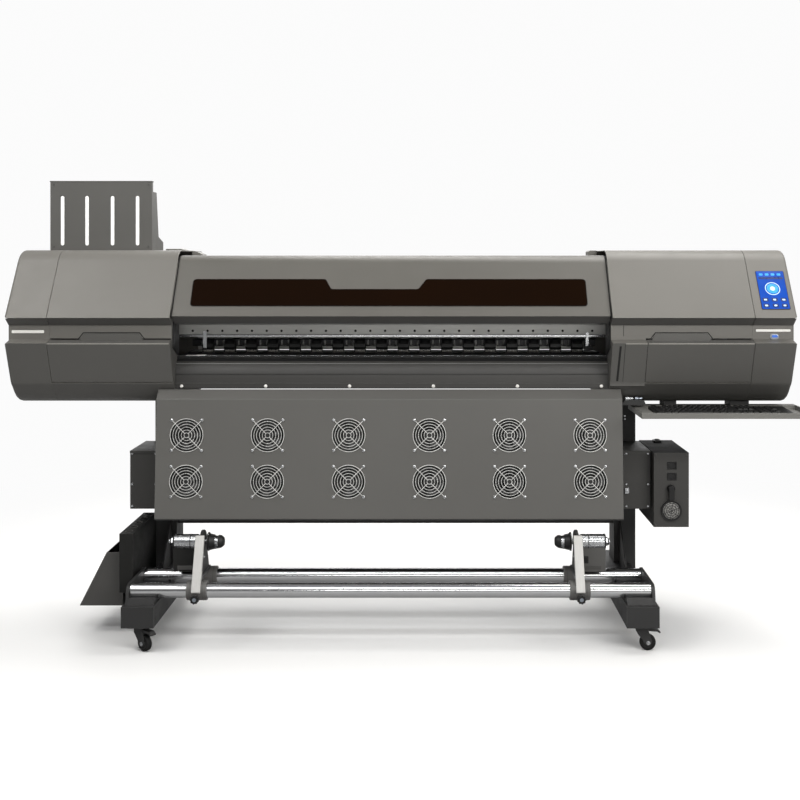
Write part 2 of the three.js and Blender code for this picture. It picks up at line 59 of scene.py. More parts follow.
# ------------------------------------------------------------------ camera, light, floor
def stage():
    cam = bpy.data.cameras.new("view")
    co = bpy.data.objects.new("view", cam)
    bpy.context.collection.objects.link(co)
    co.location = W(140, -4070, 1297)
    co.rotation_euler = (math.radians(90), 0, 0)
    cam.lens = 52.9
    cam.sensor_width = 36
    cam.shift_x = -0.0375
    cam.shift_y = -0.171
    cam.clip_end = 100
    bpy.context.scene.camera = co
    bpy.context.scene.view_settings.view_transform = "Standard"

    world = bpy.data.worlds.new("studio")
    bpy.context.scene.world = world
    world.use_nodes = True
    nt = world.node_tree
    bg = nt.nodes["Background"]
    tc = nt.nodes.new("ShaderNodeTexCoord")
    sep = nt.nodes.new("ShaderNodeSeparateXYZ")
    ramp = nt.nodes.new("ShaderNodeValToRGB")
    nt.links.new(tc.outputs["Generated"], sep.inputs[0])
    rng = nt.nodes.new("ShaderNodeMapRange")
    rng.inputs["From Min"].default_value = -1
    rng.inputs["From Max"].default_value = 1
    nt.links.new(sep.outputs["Z"], rng.inputs["Value"])
    nt.links.new(rng.outputs[0], ramp.inputs[0])
    el = ramp.color_ramp.elements
    el[0].position, el[0].color = 0.40, (0.62, 0.62, 0.62, 1)
    el[1].position, el[1].color = 1.0, (0.42, 0.42, 0.43, 1)
    for p, c in ((0.5, 0.60), (0.53, 0.10), (0.60, 0.08), (0.64, 0.50), (0.80, 0.62)):
        e = el.new(p)
        e.color = (c, c, c, 1)
    lp = nt.nodes.new("ShaderNodeLightPath")
    white = nt.nodes.new("ShaderNodeBackground")
    white.inputs[0].default_value = (1, 1, 1, 1)
    white.inputs[1].default_value = 0.97
    mix = nt.nodes.new("ShaderNodeMixShader")
    nt.links.new(ramp.outputs[0], bg.inputs[0])
    bg.inputs[1].default_value = 0.69
    nt.links.new(lp.outputs["Is Camera Ray"], mix.inputs[0])
    nt.links.new(bg.outputs[0], mix.inputs[1])
    nt.links.new(white.outputs[0], mix.inputs[2])
    nt.links.new(mix.outputs[0], nt.nodes["World Output"].inputs[0])

    def area(name, loc, target, sx, sy, power, col=(1, 1, 1)):
        d = bpy.data.lights.new(name, "AREA")
        d.shape = "RECTANGLE"
        d.size, d.size_y, d.energy, d.color = sx, sy, power, col
        o = bpy.data.objects.new(name, d)
        bpy.context.collection.objects.link(o)
        o.location = loc
        o.rotation_euler = (Vector(target) - Vector(loc)).to_track_quat("-Z", "Y").to_euler()
        return o

    area("key_top", (0.8, 0.9, 3.9), (0.1, 0.1, 1.0), 5.0, 1.6, 150, (1.0, 0.985, 0.96))
    area("front_right", (3.6, -4.4, 2.9), (0.5, -0.2, 0.9), 2.6, 2.0, 112, (1.0, 0.98, 0.95))
    area("front_left", (-2.7, -1.7, 4.0), (-1.1, 0.0, 1.2), 1.6, 1.6, 60, (1.0, 0.985, 0.96))
    area("front_low", (0.9, -4.5, 1.28), (0.0, 0.3, 0.98), 3.4, 0.34, 24, (1.0, 0.985, 0.96))
    area("tube_strip", (0.0, -2.9, 3.1), (0.0, -0.3, 0.2), 6.0, 0.30, 62)
    area("back", (0.0, 4.0, 2.6), (0.0, 0.3, 0.9), 5.0, 1.6, 60)

    me = bpy.data.meshes.new("floor")
    bm = bmesh.new()
    n = 24
    grid = [[bm.verts.new((-9 + 18 * i / n, -9 + 18 * j / n, -0.0006)) for j in range(n + 1)] for i in range(n + 1)]
    for i in range(n):
        for j in range(n):
            bm.faces.new((grid[i][j], grid[i + 1][j], grid[i + 1][j + 1], grid[i][j + 1]))
    bm.to_mesh(me)
    bm.free()
    fl = bpy.data.objects.new("floor", me)
    bpy.context.collection.objects.link(fl)
    m = bpy.data.materials.new("floor_pale")
    m.use_nodes = True
    b = m.node_tree.nodes["Principled BSDF"]
    b.inputs["Roughness"].default_value = 0.6
    nz = m.node_tree.nodes.new("ShaderNodeTexNoise")
    nz.inputs["Scale"].default_value = 0.6
    cr = m.node_tree.nodes.new("ShaderNodeValToRGB")
    cr.color_ramp.elements[0].color = (0.90, 0.90, 0.89, 1)
    cr.color_ramp.elements[1].color = (0.94, 0.94, 0.935, 1)
    t2 = m.node_tree.nodes.new("ShaderNodeTexCoord")
    m.node_tree.links.new(t2.outputs["Object"], nz.inputs["Vector"])
    m.node_tree.links.new(nz.outputs[0], cr.inputs[0])
    lpf = m.node_tree.nodes.new("ShaderNodeLightPath")
    dim = m.node_tree.nodes.new("ShaderNodeMix")
    dim.data_type = "RGBA"
    dim.inputs[6].default_value = (0.30, 0.30, 0.30, 1)
    m.node_tree.links.new(lpf.outputs["Is Camera Ray"], dim.inputs[0])
    m.node_tree.links.new(cr.outputs[0], dim.inputs[7])
    m.node_tree.links.new(dim.outputs[2], b.inputs["Base Color"])
    # the floor runs out into the white background, by distance from the object
    sub = m.node_tree.nodes.new("ShaderNodeVectorMath")
    sub.operation = "LENGTH"
    m.node_tree.links.new(t2.outputs["Object"], sub.inputs[0])
    mr = m.node_tree.nodes.new("ShaderNodeMapRange")
    mr.interpolation_type = "SMOOTHSTEP"
    mr.inputs["From Min"].default_value = 1.3
    mr.inputs["From Max"].default_value = 3.4
    m.node_tree.links.new(sub.outputs["Value"], mr.inputs["Value"])
    em = m.node_tree.nodes.new("ShaderNodeEmission")
    em.inputs[0].default_value = (1, 1, 1, 1)
    em.inputs[1].default_value = 0.97
    mx = m.node_tree.nodes.new("ShaderNodeMixShader")
    far = m.node_tree.nodes.new("ShaderNodeMath")
    far.operation = "MULTIPLY"
    m.node_tree.links.new(mr.outputs[0], far.inputs[0])
    m.node_tree.links.new(lpf.outputs["Is Camera Ray"], far.inputs[1])
    m.node_tree.links.new(far.outputs[0], mx.inputs[0])
    m.node_tree.links.new(b.outputs[0], mx.inputs[1])
    m.node_tree.links.new(em.outputs[0], mx.inputs[2])
    m.node_tree.links.new(mx.outputs[0], m.node_tree.nodes["Material Output"].inputs[0])
    me.materials.append(m)


stage()


# ------------------------------------------------------------------ materials
def srgb(h):
    out = []
    for s in (16, 8, 0):
        c = ((h >> s) & 255) / 255
        out.append(c / 12.92 if c <= 0.04045 else ((c + 0.055) / 1.055) ** 2.4)
    return (*out, 1.0)


def mul(c, k):
    return (min(1, c[0] * k), min(1, c[1] * k), min(1, c[2] * k), 1.0)


def lerp(a, b, t):
    return tuple(a[i] + (b[i] - a[i]) * t for i in range(4))


MATS = {}


class Mat:
    """A small helper to lay out a procedural material."""

    def __init__(self, name):
        self.m = bpy.data.materials.new(name)
        self.m.use_nodes = True
        self.nt = self.m.node_tree
        self.b = self.nt.nodes["Principled BSDF"]
        self.tc = self.nt.nodes.new("ShaderNodeTexCoord")
        MATS[name] = self.m

    def n(self, kind, **kw):
        node = self.nt.nodes.new(kind)
        for k, v in kw.items():
            if k.startswith("i_"):
                node.inputs[k[2:].replace("_", " ")].default_value = v
            else:
                setattr(node, k, v)
        return node

    def link(self, a, b):
        self.nt.links.new(a, b)

    def coords(self, scale=(1, 1, 1)):
        mp = self.n("ShaderNodeMapping")
        mp.inputs["Scale"].default_value = scale
        self.link(self.tc.outputs["Object"], mp.inputs["Vector"])
        return mp.outputs[0]

    def noise(self, scale, detail=2.0, rough=0.5, vec=None, seed=0.0):
        nz = self.n("ShaderNodeTexNoise", noise_dimensions="4D")
        nz.inputs["W"].default_value = seed
        nz.inputs["Scale"].default_value = scale
        nz.inputs["Detail"].default_value = detail
        nz.inputs["Roughness"].default_value = rough
        self.link(vec if vec is not None else self.tc.outputs["Object"], nz.inputs["Vector"])
        return nz.outputs[0]

    def rng(self, v, a, b, c, d, clamp=True):
        r = self.n("ShaderNodeMapRange")
        r.clamp = clamp
        for k, x in zip(("From Min", "From Max", "To Min", "To Max"), (a, b, c, d)):
            r.inputs[k].default_value = x
        self.link(v, r.inputs["Value"])
        return r.outputs[0]

    def math(self, op, a, b=None, clamp=False):
        m = self.n("ShaderNodeMath", operation=op, use_clamp=clamp)
        for i, v in enumerate((a, b)):
            if v is None:
                continue
            if isinstance(v, (int, float)):
                m.inputs[i].default_value = v
            else:
                self.link(v, m.inputs[i])
        return m.outputs[0]

    def mixc(self, f, a, b):
        m = self.n("ShaderNodeMix", data_type="RGBA")
        for i, v in ((0, f), (6, a), (7, b)):
            if isinstance(v, (int, float, tuple)):
                m.inputs[i].default_value = v
            else:
                self.link(v, m.inputs[i])
        return m.outputs[2]

    def edge(self, radius=0.0022):
        """How strongly a point lies on an outer edge, from the surface alone."""
        bv = self.n("ShaderNodeBevel", samples=4)
        bv.inputs["Radius"].default_value = radius
        geo = self.n("ShaderNodeNewGeometry")
        dot = self.n("ShaderNodeVectorMath", operation="DOT_PRODUCT")
        self.link(bv.outputs[0], dot.inputs[0])
        self.link(geo.outputs["True Normal"], dot.inputs[1])
        return self.rng(dot.outputs["Value"], 0.995, 0.86, 0.0, 1.0)

    def bump(self, height, strength, dist, prev=None):
        b = self.n("ShaderNodeBump")
        b.inputs["Strength"].default_value = strength
        b.inputs["Distance"].default_value = dist
        self.link(height, b.inputs["Height"])
        if prev is not None:
            self.link(prev, b.inputs["Normal"])
        return b.outputs[0]

    def done(self, color=None, rough=None, normal=None, metallic=0.0, **fixed):
        if color is not None:
            if isinstance(color, tuple):
                self.b.inputs["Base Color"].default_value = color
            else:
                self.link(color, self.b.inputs["Base Color"])
        if rough is not None:
            if isinstance(rough, (int, float)):
                self.b.inputs["Roughness"].default_value = rough
            else:
                self.link(rough, self.b.inputs["Roughness"])
        if normal is not None:
            self.link(normal, self.b.inputs["Normal"])
        self.b.inputs["Metallic"].default_value = metallic
        for k, v in fixed.items():
            self.b.inputs[k.replace("_", " ")].default_value = v
        return self.m


def painted(name, hexcol, rough=0.46, peel=620.0, peel_strength=0.10, wear=0.35, wear_to=0x8f8e8a, spec=0.45, grain=0.0, seed=0.0):
    """Powder coat or moulded cover: orange peel, slow colour drift, fine speckle, rubbed edges."""
    m = Mat(name)
    base = srgb(hexcol)
    drift = m.rng(m.noise(1.7, 3, 0.55, seed=seed), 0.3, 0.7, 0.0, 1.0)
    col = m.mixc(drift, mul(base, 0.93), mul(base, 1.06))
    speck = m.rng(m.noise(950, 1, 0.5, seed=seed + 3), 0.35, 0.65, 0.0, 1.0)
    col = m.mixc(m.math("MULTIPLY", speck, 0.16 + grain * 0.3), col, mul(base, 1.22))
    smear = m.rng(m.noise(9, 5, 0.65, vec=m.coords((0.35, 1.0, 1.6)), seed=seed + 5), 0.52, 0.75, 0.0, 1.0)
    col = m.mixc(m.math("MULTIPLY", smear, 0.10), col, mul(base, 0.80))
    patch = m.rng(m.noise(38, 4, 0.7, seed=seed + 7), 0.42, 0.66, 0.0, 1.0)
    edge = m.math("MULTIPLY", m.edge(), patch)
    col = m.mixc(m.math("MULTIPLY", edge, wear), col, srgb(wear_to))
    r = m.rng(m.noise(24, 4, 0.6, seed=seed + 9), 0.3, 0.7, rough - 0.05, rough + 0.07)
    r = m.math("SUBTRACT", r, m.math("MULTIPLY", edge, 0.10))
    nrm = m.bump(m.noise(peel, 2, 0.55, seed=seed + 11), peel_strength, 0.0006)
    if grain:
        nrm = m.bump(m.noise(2200, 1, 0.5, seed=seed + 13), grain, 0.0004, nrm)
    return m.done(col, r, nrm, 0.0, Specular_IOR_Level=spec)


def plastic(name, hexcol, rough=0.42, tex=1800.0, strength=0.12, spec=0.4, seed=20.0):
    m = Mat(name)
    base = srgb(hexcol)
    col = m.mixc(m.rng(m.noise(6, 3, 0.5, seed=seed), 0.3, 0.7, 0, 1), mul(base, 0.88), mul(base, 1.15))
    rub = m.math("MULTIPLY", m.edge(0.0015), m.rng(m.noise(60, 3, 0.6, seed=seed + 2), 0.4, 0.65, 0, 1))
    col = m.mixc(m.math("MULTIPLY", rub, 0.35), col, lerp(base, srgb(0x6a6a6a), 0.5))
    r = m.rng(m.noise(30, 3, 0.6, seed=seed + 4), 0.3, 0.7, rough - 0.06, rough + 0.08)
    nrm = m.bump(m.noise(tex, 2, 0.5, seed=seed + 6), strength, 0.0004)
    return m.done(col, r, nrm, 0.0, Specular_IOR_Level=spec)


def metal(name, hexcol, rough=0.3, brush=None, wear=0.15, strength=0.05, seed=40.0, metallic=1.0):
    """Bare metal; brush is the stretch of the brushing lines along X, Y, Z (small = along)."""
    m = Mat(name)
    base = srgb(hexcol)
    vec = m.coords(brush if brush else (1, 1, 1))
    lines = m.noise(700 if brush else 90, 3, 0.6, vec=vec, seed=seed)
    lv = m.rng(lines, 0.3, 0.7, 0.0, 1.0)
    col = m.mixc(lv, mul(base, 0.90), mul(base, 1.05))
    blot = m.rng(m.noise(14, 4, 0.6, seed=seed + 2), 0.45, 0.75, 0, 1)
    col = m.mixc(m.math("MULTIPLY", blot, wear), col, mul(base, 0.72))
    r = m.rng(lines, 0.3, 0.7, rough - 0.05, rough + 0.07)
    r = m.math("ADD", r, m.math("MULTIPLY", blot, 0.06))
    nrm = m.bump(lines, strength, 0.0003)
    return m.done(col, r, nrm, metallic)


def glossy(name, hexcol, rough=0.06, spec=0.35, coat=0.0, seed=60.0, vary=0.15):
    m = Mat(name)
    base = srgb(hexcol)
    col = m.mixc(m.rng(m.noise(3, 3, 0.5, seed=seed), 0.3, 0.7, 0, 1), mul(base, 1 - vary), mul(base, 1 + vary))
    dust = m.rng(m.noise(55, 5, 0.7, seed=seed + 2), 0.50, 0.80, 0, 1)
    r = m.rng(dust, 0, 1, rough, rough + 0.10)
    nrm = m.bump(m.noise(40, 2, 0.5, seed=seed + 4), 0.02, 0.0004)
    return m.done(col, r, nrm, 0.0, Specular_IOR_Level=spec, Coat_Weight=coat)


painted("cover_paint", 0x6b6964, 0.44, seed=1)
# darker copy of the cover paint, for faces below the ridge that face down: painted shade
painted("lower_shade_paint", 0x565552, 0.46, seed=31)
painted("sheet_paint", 0x5b5a57, 0.48, peel=520, peel_strength=0.13, seed=2)
painted("dark_paint", 0x464543, 0.48, peel=520, peel_strength=0.13, wear_to=0x7b7a77, seed=4)
# light grey for the strips along the door ridges: painted highlight
painted("ridge_highlight_paint", 0xb3b0a8, 0.4, seed=30)
# the lid's paint and its lower copy are darker copies of the cover paint: painted shade
painted("lid_shade_paint", 0x5a5853, 0.42, seed=31)
painted("lid_low_shade_paint", 0x504e4a, 0.44, seed=32)
painted("apron_paint", 0x373634, 0.46, seed=33)
painted("box_paint", 0x383735, 0.5, seed=20)
# near-black for the power box's top faces: painted shade under the right head
painted("box_top_shade_paint", 0x1e1e1d, 0.65, spec=0.12, seed=22)
# the right take-up box gets this lighter copy of the box paint: painted light
painted("box_painted_light", 0x52514f, 0.5, seed=23)
# dark paint of the waste rack and the left take-up box, darkened for the shade under the left head: painted shade
painted("rack_shade_paint", 0x232322, 0.60, spec=0.15, seed=24)
painted("platen_black", 0x1d1d1d, 0.62, peel=900, peel_strength=0.1, spec=0.12, wear=0.2, seed=26)
painted("tray_paint", 0x706f6b, 0.48, seed=6)
painted("black_steel", 0x2a2a2a, 0.50, peel=900, peel_strength=0.25, wear=0.5, wear_to=0x6f6e6c, grain=0.12, seed=8)
painted("recess_paint", 0x6a6864, 0.5, seed=10)
# darker copy of the cover paint, for the returns under the front lips: painted shade
painted("underside_shade_paint", 0x545351, 0.52, seed=14)
painted("white_trim", 0xf2f0ea, 0.35, peel=400, peel_strength=0.05, wear=0.2, wear_to=0xa8a6a0, seed=12)
plastic("black_plastic", 0x161616, 0.42)
plastic("key_plastic", 0x0c0c0c, 0.5, 2600, 0.2, seed=24)
plastic("key_body", 0x242424, 0.45, 2200, 0.15, seed=26)
plastic("caster_rubber", 0x191919, 0.72, 900, 0.25, spec=0.25, seed=28)
plastic("roller_rubber", 0x8b8a86, 0.55, 900, 0.15, seed=30)
plastic("seal_dark", 0x1c1c1b, 0.7, 900, 0.15, seed=32)
metal("chrome_tube", 0xe6e7e8, 0.12, brush=(0.04, 1, 1), strength=0.02, seed=41)
metal("brushed_bar", 0xbebdba, 0.42, brush=(1, 0.05, 0.05), strength=0.10, seed=43, metallic=0.25)
metal("rail_aluminium", 0x9c9c9c, 0.38, brush=(0.02, 1, 1), strength=0.06, seed=45, metallic=0.6)
# lighter copy of the rail aluminium for its front faces, which lie in shade: painted light
metal("rail_face_painted_light", 0xd6d6d2, 0.42, brush=(0.02, 1, 1), strength=0.06, seed=46, metallic=0.25)
metal("steel_bright", 0xc9cbcd, 0.22, seed=47)
metal("wire_steel", 0xe2e2df, 0.32, seed=49, metallic=0.3)
metal("button_metal", 0x9fa6b0, 0.30, brush=(0.05, 1, 1), seed=51)
metal("black_anodised", 0x1c1c1d, 0.36, brush=(0.02, 1, 1), strength=0.05, seed=53, metallic=0.55)
metal("platen_grey", 0x8d8d8b, 0.38, brush=(0.02, 1, 1), strength=0.05, seed=55, metallic=0.7)
glossy("tinted_window", 0x120600, 0.07, spec=0.12)


def grille_material():
    """Woven vent mesh: dark, with a fine wire pattern in colour and height."""
    m = Mat("vent_mesh")
    v = m.n("ShaderNodeTexVoronoi", feature="F1")
    v.inputs["Scale"].default_value = 260
    m.link(m.tc.outputs["Object"], v.inputs["Vector"])
    d = m.rng(v.outputs["Distance"], 0.15, 0.55, 0, 1)
    col = m.mixc(d, srgb(0x161616), srgb(0x8c8b88))
    return m.done(col, m.rng(d, 0, 1, 0.65, 0.4), m.bump(d, 0.6, 0.0012), 0.3)


def screen_material():
    """Lit display: blue panel with slow tonal change and a fine pixel grid."""
    m = Mat("screen_glass")
    g = m.n("ShaderNodeTexGradient")
    m.link(m.coords((0.0, 0.0, 5.0)), g.inputs["Vector"])
    col = m.mixc(m.noise(12, 2, 0.5, seed=71), srgb(0x103a92), srgb(0x174fb4))
    w = m.n("ShaderNodeTexWave", wave_type="BANDS", bands_direction="X")
    w.inputs["Scale"].default_value = 420
    m.link(m.tc.outputs["Object"], w.inputs["Vector"])
    col = m.mixc(m.math("MULTIPLY", w.outputs[1], 0.10), col, srgb(0x0d2a66))
    m.link(col, m.b.inputs["Emission Color"])
    m.b.inputs["Emission Strength"].default_value = 0.16
    return m.done(col, m.rng(m.noise(50, 4, 0.6, seed=73), 0.4, 0.8, 0.07, 0.16), None, 0.0, Specular_IOR_Level=0.4)


def lit(name, hexcol, strength=0.4):
    m = Mat(name)
    col = m.mixc(m.noise(90, 2, 0.5, seed=75), mul(srgb(hexcol), 0.85), mul(srgb(hexcol), 1.1))
    m.link(col, m.b.inputs["Emission Color"])
    m.b.inputs["Emission Strength"].default_value = strength
    return m.done(col, m.rng(m.noise(70, 3, 0.5, seed=77), 0.3, 0.7, 0.2, 0.35), None, 0.0)


grille_material()
screen_material()
lit("icon_pale", 0xb9d4f2)
lit("icon_cyan", 0x2f93e0, 0.30)
lit("icon_deep", 0x07205c, 0.10)
lit("button_blue", 0x2f66c8, 0.30)
# the ink level windows glow, though no lamp lights them: painted light
lit("level_window_painted_glow", 0xe8e8e6, 0.42)


# ------------------------------------------------------------------ mesh building
class Build:
    """Collects closed islands, each with a material, into one object. Coordinates are layout millimetres."""

    def __init__(self):
        self.bm = bmesh.new()
        self.mats = []

    def mi(self, mat):
        if mat not in self.mats:
            self.mats.append(mat)
        return self.mats.index(mat)

    def _finish_island(self, verts, faces, mat, smooth, bevel, seg):
        i = self.mi(mat)
        for f in faces:
            f.material_index = i
            f.smooth = True
        if bevel > 0:
            edges = set()
            for f in faces:
                for e in f.edges:
                    if len(e.link_faces) == 2 and e.calc_face_angle(0) > math.radians(25):
                        edges.add(e)
            bmesh.ops.bevel(self.bm, geom=list(edges), offset=bevel * MM, offset_type="OFFSET", segments=seg, profile=0.5,
                            affect="EDGES", clamp_overlap=True, material=-1)

    def prism(self, pts, axis, a, b, mat, bevel=0.8, seg=2, M=None):
        """pts: closed outline in the plane across axis, as (Y,Z) for X, (X,Z) for Y, (X,Y) for Z."""
        area = sum(pts[i][0] * pts[(i + 1) % len(pts)][1] - pts[(i + 1) % len(pts)][0] * pts[i][1] for i in range(len(pts)))
        if area < 0:
            pts = pts[::-1]

        def P(p, t):
            v = {"X": (t, p[0], p[1]), "Y": (p[0], t, p[1]), "Z": (p[0], p[1], t)}[axis]
            v = Vector(v)
            if M is not None:
                v = M @ v
            return W(*v)
        va = [self.bm.verts.new(P(p, a)) for p in pts]
        vb = [self.bm.verts.new(P(p, b)) for p in pts]
        fs = []
        n = len(pts)
        for i in range(n):
            fs.append(self.bm.faces.new((va[i], va[(i + 1) % n], vb[(i + 1) % n], vb[i])))
        fs.append(self.bm.faces.new(va[::-1]))
        fs.append(self.bm.faces.new(vb))
        bmesh.ops.recalc_face_normals(self.bm, faces=fs)
        self._finish_island(va + vb, fs, mat, True, bevel, seg)
        return self

    def box(self, x0, x1, y0, y1, z0, z1, mat, bevel=0.8, seg=2, M=None):
        return self.prism([(y0, z0), (y1, z0), (y1, z1), (y0, z1)], "X", x0, x1, mat, bevel, seg, M)

    def lathe(self, profile, origin, direction, mat, n=32, M=None):
        """profile: (t along direction, radius) from axis to axis, closed; origin in layout mm."""
        d = Vector(direction).normalized()
        up = Vector((0, 0, 1)) if abs(d.z) < 0.9 else Vector((1, 0, 0))
        u = d.cross(up).normalized()
        v = d.cross(u).normalized()
        o = Vector(origin)

        def T(p):
            if M is not None:
                p = M @ p
            return W(*p)
        rings = []
        for t, r in profile:
            if r < 1e-6:
                rings.append([self.bm.verts.new(T(o + d * t))])
            else:
                rings.append([self.bm.verts.new(T(o + d * t + u * (r * math.cos(2 * math.pi * k / n)) + v * (r * math.sin(2 * math.pi * k / n)))) for k in range(n)])
        fs = []
        pairs = list(zip(rings, rings[1:]))
        if len(rings[0]) > 1:                      # a ring: the profile closes on itself
            pairs.append((rings[-1], rings[0]))
        for A, B in pairs:
            if len(A) == 1 and len(B) == 1:
                continue
            for k in range(n):
                k2 = (k + 1) % n
                if len(A) == 1:
                    fs.append(self.bm.faces.new((A[0], B[k], B[k2])))
                elif len(B) == 1:
                    fs.append(self.bm.faces.new((A[k], B[0], A[k2])))
                else:
                    fs.append(self.bm.faces.new((A[k], B[k], B[k2], A[k2])))
        bmesh.ops.recalc_face_normals(self.bm, faces=fs)
        i = self.mi(mat)
        for f in fs:
            f.material_index = i
            f.smooth = True
        return self

    def cyl(self, p0, p1, r, mat, ch=0.8, n=32, M=None):
        """Solid cylinder between two points with rounded rims."""
        p0, p1 = Vector(p0), Vector(p1)
        L = (p1 - p0).length
        ch = min(ch, r * 0.45, L * 0.45)
        k = ch * 0.3
        prof = [(0, 0), (0, (r - ch) * 0.6), (0, r - ch), (k, r - k), (ch, r), (L - ch, r), (L - k, r - k), (L, r - ch), (L, (r - ch) * 0.6), (L, 0)]
        return self.lathe(prof, p0, p1 - p0, mat, n, M)

    def tube(self, p0, p1, r, ri, mat, ch=0.8, n=40, M=None):
        """Hollow tube with rounded ends."""
        p0, p1 = Vector(p0), Vector(p1)
        L = (p1 - p0).length
        c = min(ch, (r - ri) * 0.4, L * 0.3)
        prof = [(0, ri + c), (0, r - c), (c * 0.3, r - c * 0.3), (c, r), (L - c, r), (L - c * 0.3, r - c * 0.3), (L, r - c), (L, ri + c), (L - c, ri), (c, ri)]
        return self.lathe(prof, p0, p1 - p0, mat, n, M)

    def torus(self, c, normal, R, r, mat, n=48, m=10, M=None):
        prof = [(r * math.sin(2 * math.pi * k / m), R + r * math.cos(2 * math.pi * k / m)) for k in range(m)]
        return self.lathe(prof, c, normal, mat, n, M)

    def wire(self, pts, r, mat, m=8, M=None):
        """Round wire through points, closed with caps."""
        P = [Vector(p) for p in pts]
        rings = []
        prev = None
        for i, p in enumerate(P):
            t = (P[min(i + 1, len(P) - 1)] - P[max(i - 1, 0)]).normalized()
            ref = Vector((0, 0, 1)) if abs(t.z) < 0.9 else Vector((1, 0, 0))
            u = t.cross(ref).normalized() if prev is None else (prev - t * prev.dot(t)).normalized()
            prev = u
            v = t.cross(u)
            ring = []
            for k in range(m):
                q = p + u * (r * math.cos(2 * math.pi * k / m)) + v * (r * math.sin(2 * math.pi * k / m))
                if M is not None:
                    q = M @ q
                ring.append(self.bm.verts.new(W(*q)))
            rings.append(ring)
        fs = []
        for A, B in zip(rings, rings[1:]):
            for k in range(m):
                fs.append(self.bm.faces.new((A[k], A[(k + 1) % m], B[(k + 1) % m], B[k])))
        fs.append(self.bm.faces.new(rings[0][::-1]))
        fs.append(self.bm.faces.new(rings[-1]))
        bmesh.ops.recalc_face_normals(self.bm, faces=fs)
        i = self.mi(mat)
        for f in fs:
            f.material_index = i
            f.smooth = True
        return self

    def screw(self, c, d, r, mat, h=2.2, M=None):
        """Cross-recess-free round head: a shallow dome with a hex socket shadow ring."""
        prof = [(-1.0, 0), (-1.0, r * 0.9), (0, r), (h * 0.45, r * 0.96), (h * 0.85, r * 0.7), (h, r * 0.42), (h * 0.72, r * 0.36), (h * 0.45, r * 0.30), (h * 0.45, 0)]
        return self.lathe(prof, c, d, mat, 20, M)

    def make(self, name, body="root", slot=None, replaces=(), sharp=40):
        me = bpy.data.meshes.new(name)
        self.bm.to_mesh(me)
        self.bm.free()
        ob = bpy.data.objects.new(name, me)
        bpy.context.collection.objects.link(ob)
        for m in self.mats:
            me.materials.append(MATS[m])
        me.set_sharp_from_angle(angle=math.radians(sharp))
        wn = ob.modifiers.new("normals", "WEIGHTED_NORMAL")
        wn.keep_sharp = True
        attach(ob, body)
        if replaces:
            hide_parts(*replaces)
        return ob


NODE_BODY = {}
for body, nodes in frame["record"]["behaviour"]["bodies"].items():
    for nd in nodes:
        NODE_BODY[nd] = body
NODE_SLOT = {s["node"]: s.get("material_slot") for s in frame["record"]["subparts"]}


def refine(node, mat, bevel=1.2, seg=2, name=None, angle=28, paint=None):
    """The node's own shape with coplanar facets joined and every outer edge rounded over."""
    src = frame["nodes"][node]
    bm = bmesh.new()
    bm.from_mesh(src.data)
    bmesh.ops.remove_doubles(bm, verts=bm.verts, dist=2e-6)
    bmesh.ops.dissolve_limit(bm, angle_limit=math.radians(0.6), use_dissolve_boundaries=False, verts=bm.verts, edges=bm.edges, delimit=set())
    for f in bm.faces:
        f.smooth = True
        f.material_index = 0
    mats = [mat]
    if paint:
        for extra, test in paint:
            mats.append(extra)
            for f in bm.faces:
                c = f.calc_center_median()
                if test(c.x / MM - SX, c.y / MM - SY, c.z / MM, f.normal):
                    f.material_index = len(mats) - 1
    me = bpy.data.meshes.new(name or node + "_skin")
    bm.to_mesh(me)
    bm.free()
    for m in mats:
        me.materials.append(MATS[m])
    ob = bpy.data.objects.new(name or node + "_skin", me)
    bpy.context.collection.objects.link(ob)
    if bevel > 0:
        bv = ob.modifiers.new("round", "BEVEL")
        bv.width = bevel * MM
        bv.segments = seg
        bv.limit_method = "ANGLE"
        bv.angle_limit = math.radians(angle)
        bv.use_clamp_overlap = True
        bv.miter_outer = "MITER_ARC"
        bv.harden_normals = False
        dg = bpy.context.evaluated_depsgraph_get()
        new = bpy.data.meshes.new_from_object(ob.evaluated_get(dg))
        ob.modifiers.clear()
        old = ob.data
        ob.data = new
        bpy.data.meshes.remove(old)
        ob.data.name = ob.name
    lo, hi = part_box(node)
    for v in ob.data.vertices:            # a rounded edge never stands outside the part's own box
        v.co = Vector((min(max(v.co[i], lo[i]), hi[i]) for i in range(3)))
    ob.data.set_sharp_from_angle(angle=math.radians(52))
    wn = ob.modifiers.new("normals", "WEIGHTED_NORMAL")
    wn.keep_sharp = True
    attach(ob, NODE_BODY[node])
    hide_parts(node)
    return ob


# ------------------------------------------------------------------ covers, heads, panel, stand
# faces below the ridge that face down, which take the darker copy of the cover paint: painted shade
def shade_below_ridge(x, y, z, n):
    return z < 1019 and n.z < 0.5


for nd in ("left_end_cap", "right_end_cap"):
    refine(nd, "cover_paint", 0.9, paint=[("lower_shade_paint", shade_below_ridge)])
for nd in ("left_head_shell", "right_head_shell"):
    refine(nd, "cover_paint", 0.9, paint=[("lower_shade_paint", shade_below_ridge)])
for nd in ("left_upper_cover", "right_upper_cover"):
    refine(nd, "cover_paint", 1.3)
# the lid in a darker copy of the cover paint: painted shade
refine("front_lid", "lid_shade_paint", 1.3)
# the lower doors take the darker copy of the cover paint: painted shade
for nd in ("left_lower_door", "right_lower_door"):
    refine(nd, "lower_shade_paint", 1.3)
refine("rear_cover", "cover_paint", 1.2)
refine("lid_window", "tinted_window", 0.5)

refine("electronics_cabinet", "box_paint", 0.9)
